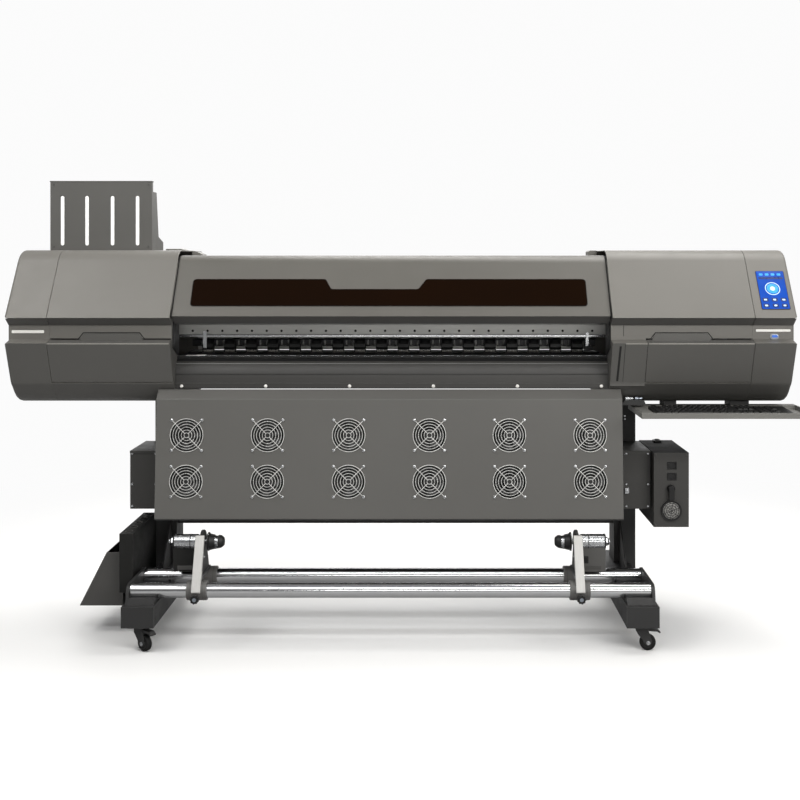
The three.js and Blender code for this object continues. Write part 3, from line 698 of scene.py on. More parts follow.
# top faces of the power box in near-black: painted shade under the right head
refine("power_box", "box_paint", 0.8, paint=[("box_top_shade_paint", lambda x, y, z, n: n.z > 0.8 and z > 600), ("black_plastic", lambda x, y, z, n: y < 129.6 and 960 < x < 1042 and z < 520)])
refine("ink_tower", "sheet_paint", 0.9)
refine("left_stand_side", "black_steel", 1.8)
refine("right_stand_side", "black_steel", 1.8)
refine("stand_crossbeam", "black_steel", 1.5)
refine("platen", "platen_black", 0.9)
refine("front_apron", "apron_paint", 0.9, paint=[("platen_black", lambda x, y, z, n: z > 944)])
# front faces of the media guide in the lighter copy of the rail aluminium: painted light
refine("rail_beam", "rail_aluminium", 0.8, paint=[("rail_face_painted_light", lambda x, y, z, n: z < 1029 and y > 412.5 and -746 < x < 756)])
refine("print_carriage", "black_plastic", 3.0, 3)
refine("capping_station", "black_plastic", 1.5)
refine("keyboard_tray", "tray_paint", 1.0, paint=[("black_steel", lambda x, y, z, n: y > 149.4 and (978 < x < 1034 or 1217 < x < 1296) and (z > 785.2 or z < 766.9 or y > 210.5))])
refine("waste_rack", "rack_shade_paint", 1.0, paint=[("dark_paint", lambda x, y, z, n: x < -936.2)])
# the two take-up boxes are alike: the left one is painted darker, painted shade, and the right one lighter, painted
# light
refine("takeup_box_left", "rack_shade_paint", 1.2)
refine("takeup_box_right", "box_painted_light", 1.2)
refine("power_switch", "black_plastic", 0.8)
refine("heater_switch", "black_plastic", 0.8)


# ------------------------------------------------------------------ helpers on the sloped faces
def frame_on(p, q):
    """Unit along p->q and the outward (front) normal, in the Y,Z plane."""
    a = Vector((q[0] - p[0], q[1] - p[1]))
    a.normalize()
    nrm = Vector((-a.y, a.x))
    if nrm.x > 0:
        nrm = -nrm
    return a, nrm


def slope_matrix(foot, top):
    """Maps (x, s, d): across, up the face, out of it."""
    a, n = frame_on(foot, top)
    return Matrix(((1, 0, 0, 0), (0, a.x, n.x, foot[0]), (0, a.y, n.y, foot[1]), (0, 0, 0, 1)))


def round_poly(pts, r, n=6):
    """Closed outline with every corner rounded to radius r (or a per-corner list)."""
    out = []
    N = len(pts)
    for i in range(N):
        p = Vector(pts[i])
        a = Vector(pts[i - 1]) - p
        b = Vector(pts[(i + 1) % N]) - p
        rr = r[i] if isinstance(r, (list, tuple)) else r
        la, lb = a.length, b.length
        a.normalize()
        b.normalize()
        ang = math.acos(max(-1, min(1, a.dot(b))))
        t = min(rr / math.tan(ang / 2), la * 0.48, lb * 0.48)
        rr = t * math.tan(ang / 2)
        c = p + (a + b).normalized() * (rr / math.sin(ang / 2))
        s, e = p + a * t, p + b * t
        a0 = math.atan2(s.y - c.y, s.x - c.x)
        a1 = math.atan2(e.y - c.y, e.x - c.x)
        d = a1 - a0
        while d > math.pi:
            d -= 2 * math.pi
        while d < -math.pi:
            d += 2 * math.pi
        for k in range(n + 1):
            t2 = a0 + d * k / n
            out.append((c.x + rr * math.cos(t2), c.y + rr * math.sin(t2)))
    return out


def rrect(x0, x1, y0, y1, r, n=6):
    return round_poly([(x0, y0), (x1, y0), (x1, y1), (x0, y1)], r, n)


HEAD_M = slope_matrix((0, 1107), (160, 1344))
LID_M = slope_matrix((20, 1112), (165, 1325))
DOOR_M = slope_matrix((60, 879), (0, 1020))


# ------------------------------------------------------------------ lid window with its rounded outline and dark gasket
win = [(-699, 42.6), (691, 42.6), (691, 153.8), (127.4, 153.8), (99.4, 111.4), (-209.4, 111.4), (-230.4, 153.8), (-699, 153.8)]
b = Build()
b.prism(round_poly([(-701, 40.6), (693, 40.6), (693, 155.8), (126.4, 155.8), (98.4, 113.4), (-208.4, 113.4), (-229.4, 155.8), (-701, 155.8)], [13, 13, 13, 12, 12, 12, 12, 13], 7), "Z", 0.05, 0.75, "seal_dark", 0.3, 1, LID_M)
b.prism(round_poly(win, [12, 12, 12, 11, 11, 11, 11, 12], 7), "Z", 0.76, 2.1, "tinted_window", 0.5, 2, LID_M)
b.prism([(-695, 46.5), (687, 46.5), (687, 149.9), (129, 149.9), (101, 107.4), (-211, 107.4), (-232, 149.9), (-695, 149.9)], "Z", -3.2, 0.0, "tinted_window", 0, 1, LID_M)
b.make("lid_window_pane", "front_lid", "tinted_window", ["lid_window"])

# lid: rubber lip under the front edge, stays and inner ribs
b = Build()
b.prism([(63.2, 1105.4), (66.5, 1105.0), (66.5, 1088), (63.2, 1088)], "X", -752, 762, "seal_dark", 0.6)
for x in (-735, 740):
    b.prism([(150, 1296), (176, 1309), (300, 1311), (300, 1303), (180, 1300), (156, 1288)], "X", x - 4, x + 4, "dark_paint", 0.8)
# return under the lid's front edge in the darker copy of the cover paint: painted shade
b.prism([(22.5, 1111.2), (63, 1105.6), (63, 1084.6), (60.5, 1084.2)], "X", -758.6, 768.6, "underside_shade_paint", 0.8)
b.make("lid_lip_and_stays", "front_lid", "cover_paint")

# the returns below the front lips of the covers and end caps, in a darker copy of the cover paint: painted shade
for name, body, x0, x1 in (("left_cover_return", "left_upper_cover", -1188.4, -763.4), ("right_cover_return", "right_upper_cover", 773.4, 1266.4),
                           ("left_cap_return", "root", -1333.0, -1190.4), ("right_cap_return", "root", 1268.4, 1411.0)):
    b = Build()
    b.prism([(2.2, 1105.6), (39.4, 1099.2), (39.4, 1081.0), (36.8, 1080.6)], "X", x0, x1, "underside_shade_paint", 0.9)
    b.make(name, body, "cover_paint")

# ------------------------------------------------------------------ finger pockets of the lower doors
for side, (a0, a1), body in (("left", (-1090, -857), "left_lower_door"), ("right", (910, 1130), "right_lower_door")):
    b = Build()
    # pocket floor and tab in the darker copy of the cover paint: painted shade
    b.prism([(13.0, 1018.6), (38.2, 1025.0), (38.2, 1021.6), (13.0, 1015.4)], "X", a0 + 3, a1 - 3, "lower_shade_paint", 0.5)
    tab = round_poly([(a0 + 1, 1022.0), (a1 - 1, 1022.0), (a1 - 20, 1051), (a0 + 20, 1051)], [1, 1, 5, 5], 4)
    b.prism(tab, "Y", 35.8, 38.3, "lower_shade_paint", 0.7)
    b.make(side + "_door_grip", body, "cover_paint")
    b = Build()
    pts = [(a0 - 2.4, 1030.5), (a0 + 1.0, 1030.5), (a0 + 18.8, 1052.2), (a1 - 18.8, 1052.2), (a1 - 1.0, 1030.5), (a1 + 2.4, 1030.5), (a1 - 17.2, 1055.6), (a0 + 17.2, 1055.6)]
    b.prism(pts, "Y", 39.2, 39.85, "seal_dark", 0.0)
    b.make(side + "_grip_gap", "root", "cover_paint")

# ------------------------------------------------------------------ trim, seams and gaskets on the heads
b = Build()
b.prism(rrect(-1322, -1209, 1052.5, 1063, 3), "Y", 37.0, 39.9, "white_trim", 0.6)
b.prism(rrect(1279, 1400, 1057.5, 1066, 3), "Y", 37.0, 39.9, "white_trim", 0.6)
b.make("head_trim_bars", "root", "cover_paint")

b = Build()
# dark slot and panel joints on the right head's fixed front
b.prism([(793.5, 4), (801.0, 4), (805.0, 141), (797.5, 141)], "Z", 0.05, 0.45, "seal_dark", 0.0, 1, DOOR_M)
# light grey strip along the ridge of the fixed front: painted highlight
b.prism([(818.5, 149.2), (893.5, 149.2), (893.5, 152.0), (818.5, 152.0)], "Z", -0.2, 0.35, "ridge_highlight_paint", 0.0, 1, DOOR_M)
b.prism([(816.2, 2), (817.8, 2), (817.8, 150.5), (816.2, 150.5)], "Z", 0.05, 0.35, "seal_dark", 0.0, 1, DOOR_M)
b.box(816.2, 817.8, 39.4, 39.9, 1041, 1098, "seal_dark", 0.0)
# horizontal joint line across the recesses
for x0, x1 in ((-1189, -764), (774, 1267)):
    b.box(x0, x1, 39.45, 39.9, 1031.2, 1032.8, "seal_dark", 0.0)
# dark gasket in the gap between the lid and each head
for x0, x1 in ((-762.8, -760.2), (770.2, 772.8)):
    b.prism([(16, 1104), (20, 1112), (161, 1318), (190, 1323.0), (334, 1323.0), (334, 1315), (195, 1314), (170, 1306), (34, 1104)], "X", x0, x1, "seal_dark", 0.4, 1)
b.make("head_joints", "root", "cover_paint")

# rubber buffers and hinge leaves of the covers, seen when they are open
b = Build()
for x in (-1150, -800, 810, 1230):
    b.cyl((x, 46, 1118), (x, 40.2, 1118), 5, "seal_dark", 1.2, 20)
b.make("cover_buffers", "root", "caster_rubber")
b = Build()
for x in (-1120, -830):
    b.cyl((x - 26, 66.5, 884), (x + 26, 66.5, 884), 2.4, "steel_bright", 0.6, 20)
    b.box(x - 24, x + 24, 63.2, 64.6, 885, 905, "steel_bright", 0.4)
b.make("left_door_hinge_pins", "left_lower_door", "button_metal")
b = Build()
for x in (950, 1210):
    b.cyl((x - 26, 66.5, 884), (x + 26, 66.5, 884), 2.4, "steel_bright", 0.6, 20)
    b.box(x - 24, x + 24, 63.2, 64.6, 885, 905, "steel_bright", 0.4)
b.make("right_door_hinge_pins", "right_lower_door", "button_metal")

# ------------------------------------------------------------------ power button
b = Build()
b.prism(rrect(1328.6, 1359.4, 1030.8, 1049.6, 9.3, 10), "Y", 38.4, 39.95, "button_metal", 0.6)
b.make("power_button_bezel", "root", "button_metal")
b = Build()
b.prism(rrect(1331.3, 1356.7, 1033.6, 1046.9, 6.6, 10), "Y", 34.6, 49, "button_metal", 1.4)
b.prism(rrect(1334.0, 1354.0, 1037.6, 1046.2, 4.2, 8), "Y", 33.6, 36.0, "button_blue", 0.8, 2)
b.make("power_button_cap", "power_button", "button_metal", ["power_button"])

# ------------------------------------------------------------------ touch screen
b = Build()
b.prism(rrect(1294.6, 1395.4, 34.6, 195.4, 5), "Z", 0.05, 1.0, "seal_dark", 0.3, 1, HEAD_M)
b.prism(rrect(1296.4, 1393.6, 36.4, 193.6, 4), "Z", 0.2, 2.1, "screen_glass", 0.5, 2, HEAD_M)
b.make("touch_screen_glass", "root", "screen_glass", ["touch_screen"])
b = Build()
cx, cs = 1345.0, 120.0
ring = [(0.0, 24.5), (0.16, 26.8), (0.28, 27.0), (0.28, 23.0), (0.0, 22.6)]


def on_head(profile, x, s, mat, n=40):
    b.lathe([(t, r) for t, r in profile], (x, s, 2.12), (0, 0, 1), mat, n, HEAD_M)


on_head([(0, 0), (0, 20.5), (0.12, 20.6), (0.22, 20.0), (0.22, 0)], cx, cs, "icon_cyan")
on_head([(0, 26.6), (0.2, 26.4), (0.2, 24.0), (0, 23.8)], cx, cs, "icon_pale")
on_head([(0.23, 0), (0.23, 9), (0.34, 8.8), (0.34, 0)], cx, cs, "icon_pale")
for k in range(3):
    for j in range(2):
        x = 1313 + 32 * k
        s = 74 - 24 * j
        b.prism(rrect(x - 10, x + 10, s - 7.5, s + 7.5, 3, 4), "Z", 2.12, 2.4, "icon_deep", 0.08, 1, HEAD_M)
        b.prism(rrect(x - 5, x + 5, s - 3.2, s + 3.2, 2, 4), "Z", 2.42, 2.6, "icon_pale", 0.05, 1, HEAD_M)
b.prism(rrect(1302, 1388, 160, 168, 2, 4), "Z", 2.12, 2.35, "icon_deep", 0.08, 1, HEAD_M)
for k in range(4):
    b.prism(rrect(1306 + 21 * k, 1319 + 21 * k, 175, 184, 2, 4), "Z", 2.12, 2.35, "icon_cyan", 0.08, 1, HEAD_M)
b.make("touch_screen_graphics", "root", "screen_glass")

# light grey strip along the top of each lower door: a painted highlight on the ridge
for nd, x0, x1 in (("left_lower_door", -1187.0, -765.0), ("right_lower_door", 898.0, 1265.0)):
    b = Build()
    b.prism([(x0, 149.2), (x1, 149.2), (x1, 152.0), (x0, 152.0)], "Z", -0.2, 0.35, "ridge_highlight_paint", 0.0, 1, DOOR_M)
    b.make(nd + "_edge", nd, "cover_paint")


# ------------------------------------------------------------------ rail on the beam's front face
b = Build()
# rail faces in the lighter copy of the rail aluminium: painted light
b.box(-744, 754, 413.6, 418.4, 968.6, 976.4, "rail_face_painted_light", 0.5, 1)
b.prism([(276.4, 1036), (279.8, 1034), (279.8, 1070.5), (277.2, 1070.5), (276.4, 1069.5)], "X", -1150, 1232, "rail_face_painted_light", 0.3, 1)
b.prism([(275.8, 1024), (279.8, 1023.4), (279.8, 1031.5), (275.8, 1030.8)], "X", -1150, 1232, "steel_bright", 0.5)
x = -1120.0
while x < 1220:
    b.lathe([(0.0, 0), (0.0, 4.4), (0.5, 4.6), (0.9, 4.2), (0.9, 2.6), (0.2, 2.3), (0.2, 0)], (x, 276.45, 1047), (0, -1, 0), "seal_dark", 18)
    x += 54.7
b.make("carriage_rail_face", "root", "rail_aluminium")

# encoder strip held above the rail, and its end clamps
b = Build()
b.box(-1140, 1225, 277.6, 278.0, 1076, 1086, "button_metal", 0.0)
for x in (-1145, 1226):
    b.box(x - 9, x + 9, 276, 279.9, 1072, 1090, "steel_bright", 0.8)
b.make("encoder_strip", "root", "rail_aluminium")

# ------------------------------------------------------------------ pinch roller bar with sprung arms
b = Build()
b.prism(round_poly([(328, 988), (392, 988), (392, 1013), (328, 1013)], 3, 3), "X", -748, 758, "black_anodised", 0.6)
for i in range(18):
    x = -684 + i * 80.6
    arm = round_poly([(331.5, 1012), (300, 1011), (287, 1000), (284.6, 986), (289, 977), (299, 976.6), (312, 985), (331.5, 990)], [1, 6, 6, 4, 3, 4, 6, 1], 3)
    b.prism(arm, "X", x - 19, x + 19, "black_plastic", 1.2)
    b.prism(round_poly([(318, 1011.6), (296, 1010), (289, 1003), (296, 1001), (318, 1003)], 2, 2), "X", x - 9, x + 9, "key_body", 0.8)
    for sx in (-20.2, 20.2):
        b.prism(round_poly([(287, 996), (313, 996), (312, 968.5), (299, 966.8)], 4, 3), "X", x + sx - 1.2, x + sx + 1.2, "black_plastic", 0.3, 1)
    for sx in (-13, 0, 13):
        b.cyl((x + sx - 5.2, 305, 973.6), (x + sx + 5.2, 305, 973.6), 6.6, "roller_rubber", 1.0, 22)
    b.cyl((x - 21.6, 305, 973.6), (x + 21.6, 305, 973.6), 2.2, "steel_bright", 0.5, 14)
    # return spring in front of the lever
    for sx in (-28, 28):
        pts = [(x + sx + 3.0 * math.cos(k * 1.05), 326 - 0.0 * k + 3.0 * math.sin(k * 1.05), 992 + k * 0.33) for k in range(56)]
        b.wire(pts, 0.5, "wire_steel", 5)
b.make("pinch_roller_arms", "pinch_roller_bar", "black_plastic", ["pinch_roller_bar"])

# lever posts at the left and at the right end of the roller bar
b = Build()
b.prism(rrect(-699, -686, 1000, 1046, 2), "Y", 275.3, 275.75, "steel_bright", 0.1)
b.prism(rrect(-699, -686, 984, 1022.5, 2), "Y", 275.9, 283.4, "steel_bright", 0.6)
b.box(-698, -687, 275.9, 283.4, 976, 983.7, "black_plastic", 0.8)
b.box(716, 726, 275.3, 275.75, 1000, 1040, "steel_bright", 0.1)
b.box(716, 726, 275.9, 283.4, 990.3, 1022.5, "steel_bright", 0.6)
b.box(709, 742, 275.9, 283.4, 976, 990, "black_plastic", 1.0)
b.make("lift_lever_posts", "root", "brushed_bar")

# ------------------------------------------------------------------ feed roller: knurled bands on a ground shaft
b = Build()
b.cyl((-755, 305, 951), (765, 305, 951), 9.5, "steel_bright", 1.0, 40)
for i in range(18):
    x = -684 + i * 80.6
    b.tube((x - 24, 305, 951), (x + 24, 305, 951), 13.8, 9.6, "platen_grey", 0.8, 40)
b.make("feed_roller_bands", "feed_roller", "brushed_bar", ["feed_roller"])

# ------------------------------------------------------------------ platen: suction holes, joints, blank plate, grey rear strip
b = Build()
for i in range(34):
    x = -735 + i * 45.2
    for y in (160, 205, 250):
        b.lathe([(0, 0), (0, 2.3), (0.18, 2.5), (0.18, 1.3), (0.05, 1.2), (0.05, 0)], (x + (22 if y == 205 else 0), y, 965.02), (0, 0, 1), "seal_dark", 12)
for x in (-508, -254, 0, 254, 508):
    b.box(x - 0.7, x + 0.7, 132, 286, 965.02, 965.14, "seal_dark", 0)
b.box(-760, 770, 132.0, 135.5, 965.05, 966.2, "steel_bright", 0.4)
b.box(-756, 766, 322, 412, 965.05, 966.0, "platen_grey", 0.4)
b.make("platen_top_details", "root", "black_anodised")
b = Build()
b.prism(rrect(-736, -668, 142, 182, 3), "Z", 965.1, 966.4, "white_trim", 0.4)
b.prism(rrect(-731, -700, 148, 176, 2), "Z", 966.42, 966.7, "roller_rubber", 0.1, 1)
b.make("blank_plate", "root", "black_anodised")

# ------------------------------------------------------------------ apron: fold lines and its round-head screws
b = Build()
for x in (-739.5, -442, -145, 152, 449.5, 747):
    b.lathe([(-0.5, 0), (-0.5, 4.6), (0.0, 6.2), (1.2, 6.0), (2.4, 4.6), (3.0, 2.6), (3.1, 2.2), (2.0, 1.9), (2.0, 0)], (x, 92, 861.7), (0, -1, 0), "white_trim", 28)
    b.torus((x, 91.9, 861.7), (0, -1, 0), 7.4, 0.5, "seal_dark", 28, 6)
b.box(-762, 772, 91.55, 91.95, 903.4, 904.8, "seal_dark", 0)
b.prism([(90.6, 871.2), (91.95, 871.2), (91.95, 873.4), (90.6, 873.0)], "X", -762, 772, "dark_paint", 0.2, 1)
b.make("apron_screws", "root", "dark_paint")
# heater foil behind the apron's lip, and a grey strip on the apron's top edge that is a painted highlight
b = Build()
b.prism([(127.4, 957.3), (130.6, 965.0), (131.8, 966.0), (129.0, 958.0)], "X", -762, 772, "platen_black", 0.2, 1)
# grey strip: painted highlight along the apron's top edge
b.prism([(109.7, 942.2), (107.6, 939.4), (108.4, 938.8), (110.6, 941.6)], "X", -762, 772, "platen_grey", 0.2, 1)
b.make("apron_lip", "root", "dark_paint")

# inner side plates of the print space, with a dark finish
b = Build()
b.prism([(50, 1000), (128, 968.2), (150, 968.2), (150, 1092), (62, 1092)], "X", -762.6, -760.0, "black_plastic", 0.5, 1)
b.prism([(50, 1000), (128, 968.2), (150, 968.2), (150, 1092), (62, 1092)], "X", 770.0, 772.6, "black_plastic", 0.5, 1)
b.make("print_space_cheeks", "root", "black_plastic")


# ------------------------------------------------------------------ drying-fan panel: folded casing with round openings
PANEL_M = slope_matrix((15, 406), (45, 821))
FANX = (-710, -427, -144, 138, 417, 699)
FANZ = (696, 536)
FAN_S = [math.hypot(30, 415) * (z - 406) / 415 for z in FANZ]


def plain(name, build):
    me = bpy.data.meshes.new(name)
    build.bm.to_mesh(me)
    build.bm.free()
    ob = bpy.data.objects.new(name, me)
    bpy.context.collection.objects.link(ob)
    for m in build.mats:
        me.materials.append(MATS[m])
    return ob


def carve(ob, cutters):
    """Subtracts each cutter object from ob and keeps the result as ob's mesh."""
    for c in cutters:
        md = ob.modifiers.new("cut", "BOOLEAN")
        md.operation = "DIFFERENCE"
        md.solver = "EXACT"
        md.object = c
    dg = bpy.context.evaluated_depsgraph_get()
    new = bpy.data.meshes.new_from_object(ob.evaluated_get(dg))
    old = ob.data
    ob.modifiers.clear()
    ob.data = new
    bpy.data.meshes.remove(old)
    ob.data.name = ob.name
    for c in cutters:
        me = c.data
        bpy.data.objects.remove(c)
        bpy.data.meshes.remove(me)


b = Build()
b.prism(round_poly([(80, 854), (45, 821), (15, 406), (88, 406)], [1.5, 5, 3, 1.5], 4), "X", -818, 813, "sheet_paint", 0.7)
casing = plain("fan_panel_casing", b)
b = Build()
b.prism([(78.2, 849.6), (47, 819.6), (17.2, 408), (86, 408)], "X", -816, 811, "sheet_paint", 0)
inner = plain("cut_inner", b)
b = Build()
for s in FAN_S:
    for x in FANX:
        b.lathe([(-40, 0), (-40, 57), (30, 57), (30, 0)], (x, s, 0), (0, 0, 1), "sheet_paint", 48, PANEL_M)
holes = plain("cut_holes", b)
carve(casing, [inner, holes])
for f in casing.data.polygons:
    f.use_smooth = True
casing.data.set_sharp_from_angle(angle=math.radians(34))
wn = casing.modifiers.new("normals", "WEIGHTED_NORMAL")
wn.keep_sharp = True
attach(casing, "root")
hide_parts("fan_panel")

b = Build()
b.box(-817.5, 812.5, 19, 88, 405.0, 405.9, "seal_dark", 0)
b.box(-817, 812, 15.6, 18.6, 403.4, 405.95, "black_steel", 0.5)
for x in (-819.0, 814.0):
    for z in (470, 610, 750):
        b.lathe([(-1, 0), (-1, 4.2), (0.3, 4.6), (1.6, 3.8), (2.0, 2.2), (1.4, 1.9), (1.4, 0)], (x if x < 0 else x - 1, 60, z), (-1 if x < 0 else 1, 0, 0), "steel_bright", 18)
b.make("fan_panel_edges", "root", "sheet_paint")


def square_ring(b, c, half, corner, r_in, d0, d1, mat, M, n=48):
    """A square plate with a round hole: closed body between d0 and d1."""
    i = b.mi(mat)
    loops = []
    for d in (d0, d1):
        outer, innr = [], []
        for k in range(n):
            t = 2 * math.pi * (k + 0.5) / n
            cx, cy = math.cos(t), math.sin(t)
            # rounded square by a high-power superellipse
            p = 9.0
            rr = half / ((abs(cx) ** p + abs(cy) ** p) ** (1 / p))
            outer.append(b.bm.verts.new(W(*(M @ Vector((c[0] + rr * cx, c[1] + rr * cy, d))))))
            innr.append(b.bm.verts.new(W(*(M @ Vector((c[0] + r_in * cx, c[1] + r_in * cy, d))))))
        loops.append((outer, innr))
    fs = []
    (o0, i0), (o1, i1) = loops
    for k in range(n):
        k2 = (k + 1) % n
        fs.append(b.bm.faces.new((o0[k], o0[k2], i0[k2], i0[k])))
        fs.append(b.bm.faces.new((o1[k], i1[k], i1[k2], o1[k2])))
        fs.append(b.bm.faces.new((o0[k], o1[k], o1[k2], o0[k2])))
        fs.append(b.bm.faces.new((i0[k], i0[k2], i1[k2], i1[k])))
    bmesh.ops.recalc_face_normals(b.bm, faces=fs)
    for f in fs:
        f.material_index = i
        f.smooth = True


def blade(b, c, a0, M, mat="fan_blade"):
    """One swept fan blade about (x, s) at depth -18."""
    nr, na = 5, 7
    i = b.mi(mat)
    top, bot = [], []
    for j in range(nr + 1):
        r = 17.5 + (48.2 - 17.5) * j / nr
        span = math.radians(40 + 6 * j / nr)
        sweep = math.radians(16) * (j / nr) ** 1.3
        rt, rb = [], []
        for k in range(na + 1):
            f = k / na
            t = a0 + sweep + span * (f - 0.5)
            z = -18 + (7.2 - 1.6 * j / nr) * (1 - 2 * f) + 1.3 * math.sin(math.pi * f)
            x, y = c[0] + r * math.cos(t), c[1] + r * math.sin(t)
            rt.append(b.bm.verts.new(W(*(M @ Vector((x, y, z + 0.7))))))
            rb.append(b.bm.verts.new(W(*(M @ Vector((x, y, z - 0.7))))))
        top.append(rt)
        bot.append(rb)
    fs = []
    for j in range(nr):
        for k in range(na):
            fs.append(b.bm.faces.new((top[j][k], top[j][k + 1], top[j + 1][k + 1], top[j + 1][k])))
            fs.append(b.bm.faces.new((bot[j][k], bot[j + 1][k], bot[j + 1][k + 1], bot[j][k + 1])))
    for k in range(na):
        fs.append(b.bm.faces.new((top[0][k], bot[0][k], bot[0][k + 1], top[0][k + 1])))
        fs.append(b.bm.faces.new((top[nr][k], top[nr][k + 1], bot[nr][k + 1], bot[nr][k])))
    for j in range(nr):
        fs.append(b.bm.faces.new((top[j][0], top[j + 1][0], bot[j + 1][0], bot[j][0])))
        fs.append(b.bm.faces.new((top[j][na], bot[j][na], bot[j + 1][na], top[j + 1][na])))
    bmesh.ops.recalc_face_normals(b.bm, faces=fs)
    for f in fs:
        f.material_index = i
        f.smooth = True


plastic("fan_blade", 0x2b2b2b, 0.38, 1500, 0.1, spec=0.5, seed=80)
frames, guards = Build(), Build()
k = 0
for s in FAN_S:
    for x in FANX:
        k += 1
        square_ring(frames, (x, s), 59.6, 6, 56.0, -27.4, -2.3, "black_plastic", PANEL_M)
        frames.lathe([(-27.2, 0), (-27.2, 19.5), (-26.6, 20), (-25.2, 20), (-24.8, 19.6), (-24.8, 0)], (x, s, 0), (0, 0, 1), "black_plastic", 28, PANEL_M)
        for q in range(4):
            t = math.radians(20 + 90 * q)
            frames.wire([(x + 18 * math.cos(t), s + 18 * math.sin(t), -26), (x + 38 * math.cos(t + 0.12), s + 38 * math.sin(t + 0.12), -26), (x + 57 * math.cos(t + 0.2), s + 57 * math.sin(t + 0.2), -26)], 1.5, "black_plastic", 6, PANEL_M)
        # guard: six rings, crossed wires with eyelets, four screws
        for R in (8.5, 18.5, 28.5, 38.5, 48.0, 57.2):
            guards.torus((x, s, 2.2), (0, 0, 1), R, 1.05 if R < 57 else 1.35, "wire_steel", 44, 6, PANEL_M)
        for ax in (-1, 1):
            for ay in (-1, 1):
                u = Vector((ax, ay)) / math.sqrt(2)
                pts = [(x + u.x * r, s + u.y * r, d) for r, d in ((7.5, 4.0), (30, 4.2), (56, 4.0), (61, 3.0), (66, 1.6), (70.2, 1.4))]
                guards.wire(pts, 1.3, "wire_steel", 6, PANEL_M)
                guards.torus((x + ax * 52.5, s + ay * 52.5, 1.4), (0, 0, 1), 4.3, 1.2, "wire_steel", 24, 6, PANEL_M)
                guards.lathe([(0.2, 0), (0.2, 2.9), (2.6, 3.1), (3.0, 4.9), (4.2, 4.4), (4.8, 2.8), (4.9, 2.2), (3.9, 1.8), (3.9, 0)], (x + ax * 52.5, s + ay * 52.5, 0), (0, 0, 1), "steel_bright", 20, PANEL_M)
        r = Build()
        r.lathe([(-26.0, 0), (-26.0, 18.5), (-25.4, 19.3), (-11.5, 19.3), (-10.2, 18.2), (-9.7, 16.0), (-9.6, 0)], (x, s, 0), (0, 0, 1), "fan_blade", 30, PANEL_M)
        for q in range(7):
            blade(r, (x, s), math.radians(90 + 360 * q / 7 + 13 * k), PANEL_M)
        r.make("fan_rotor_%d_blades" % k, "fan_rotor_%d" % k, "black_plastic", ["fan_rotor_%d" % k])
frames.make("fan_frames", "root", "black_plastic")
guards.make("fan_guards", "root", "chrome_tube")


# ------------------------------------------------------------------ guide tubes
for name, y in (("front_guide_tube", -100), ("rear_guide_tube", 90)):
    b = Build()
    b.tube((8 - 875.5, y, 193), (8 + 875.5, y, 193), 25, 21.9, "chrome_tube", 1.4, 72)
    for s in (-1, 1):
        b.lathe([(0, 0), (0, 18), (1.0, 21.7), (5, 21.7), (5, 0)], (8 + s * 873.5, y, 193), (-s, 0, 0), "black_plastic", 40)
    b.make(name + "_chrome", "root", "chrome_tube", [name])

# ------------------------------------------------------------------ stand hardware
b = Build()
for s in (-1, 1):
    for y in (-100, 90):
        b.lathe([(-0.6, 0), (-0.6, 6.5), (0, 7.4), (3.4, 7.4), (4.4, 6.4), (4.4, 0)], (8 + s * 886.2, y, 163), (s, 0, 0), "steel_bright", 6)
        b.tube((8 + s * 887.0, y, 163), (8 + s * 886.2, y, 163), 10.5, 3, "steel_bright", 0.4, 30)
    for dx in (-28, 28):
        for y in (400, 540):
            b.lathe([(0, 0), (0, 8), (0.6, 8.6), (4.4, 8.6), (5.4, 7.4), (5.4, 0)], (8 + s * (874 + dx), y, 789.8), (0, 0, -1), "steel_bright", 6)
    for z in (312, 362):
        b.lathe([(-0.5, 0), (-0.5, 6.5), (3.6, 6.5), (4.6, 5.4), (4.6, 0)], (8 + s * 915.2, 465, z), (s, 0, 0), "steel_bright", 6)
    for z in (715, 703):
        b.lathe([(-0.5, 0), (-0.5, 4), (2.0, 4.4), (3.4, 3.2), (3.4, 1.8), (2.4, 1.6), (2.4, 0)], (8 + s * 874, 411.9, z), (0, -1, 0), "steel_bright", 18)
    # weld beads where the cradles and the gusset meet the foot
    for y0, y1 in ((-147, -53), (43, 137)):
        b.wire([(8 + s * 834, y, 155.6) for y in range(y0, y1 + 1, 10)], 1.8, "black_steel", 8)
b.make("stand_fasteners", "root", "black_steel")

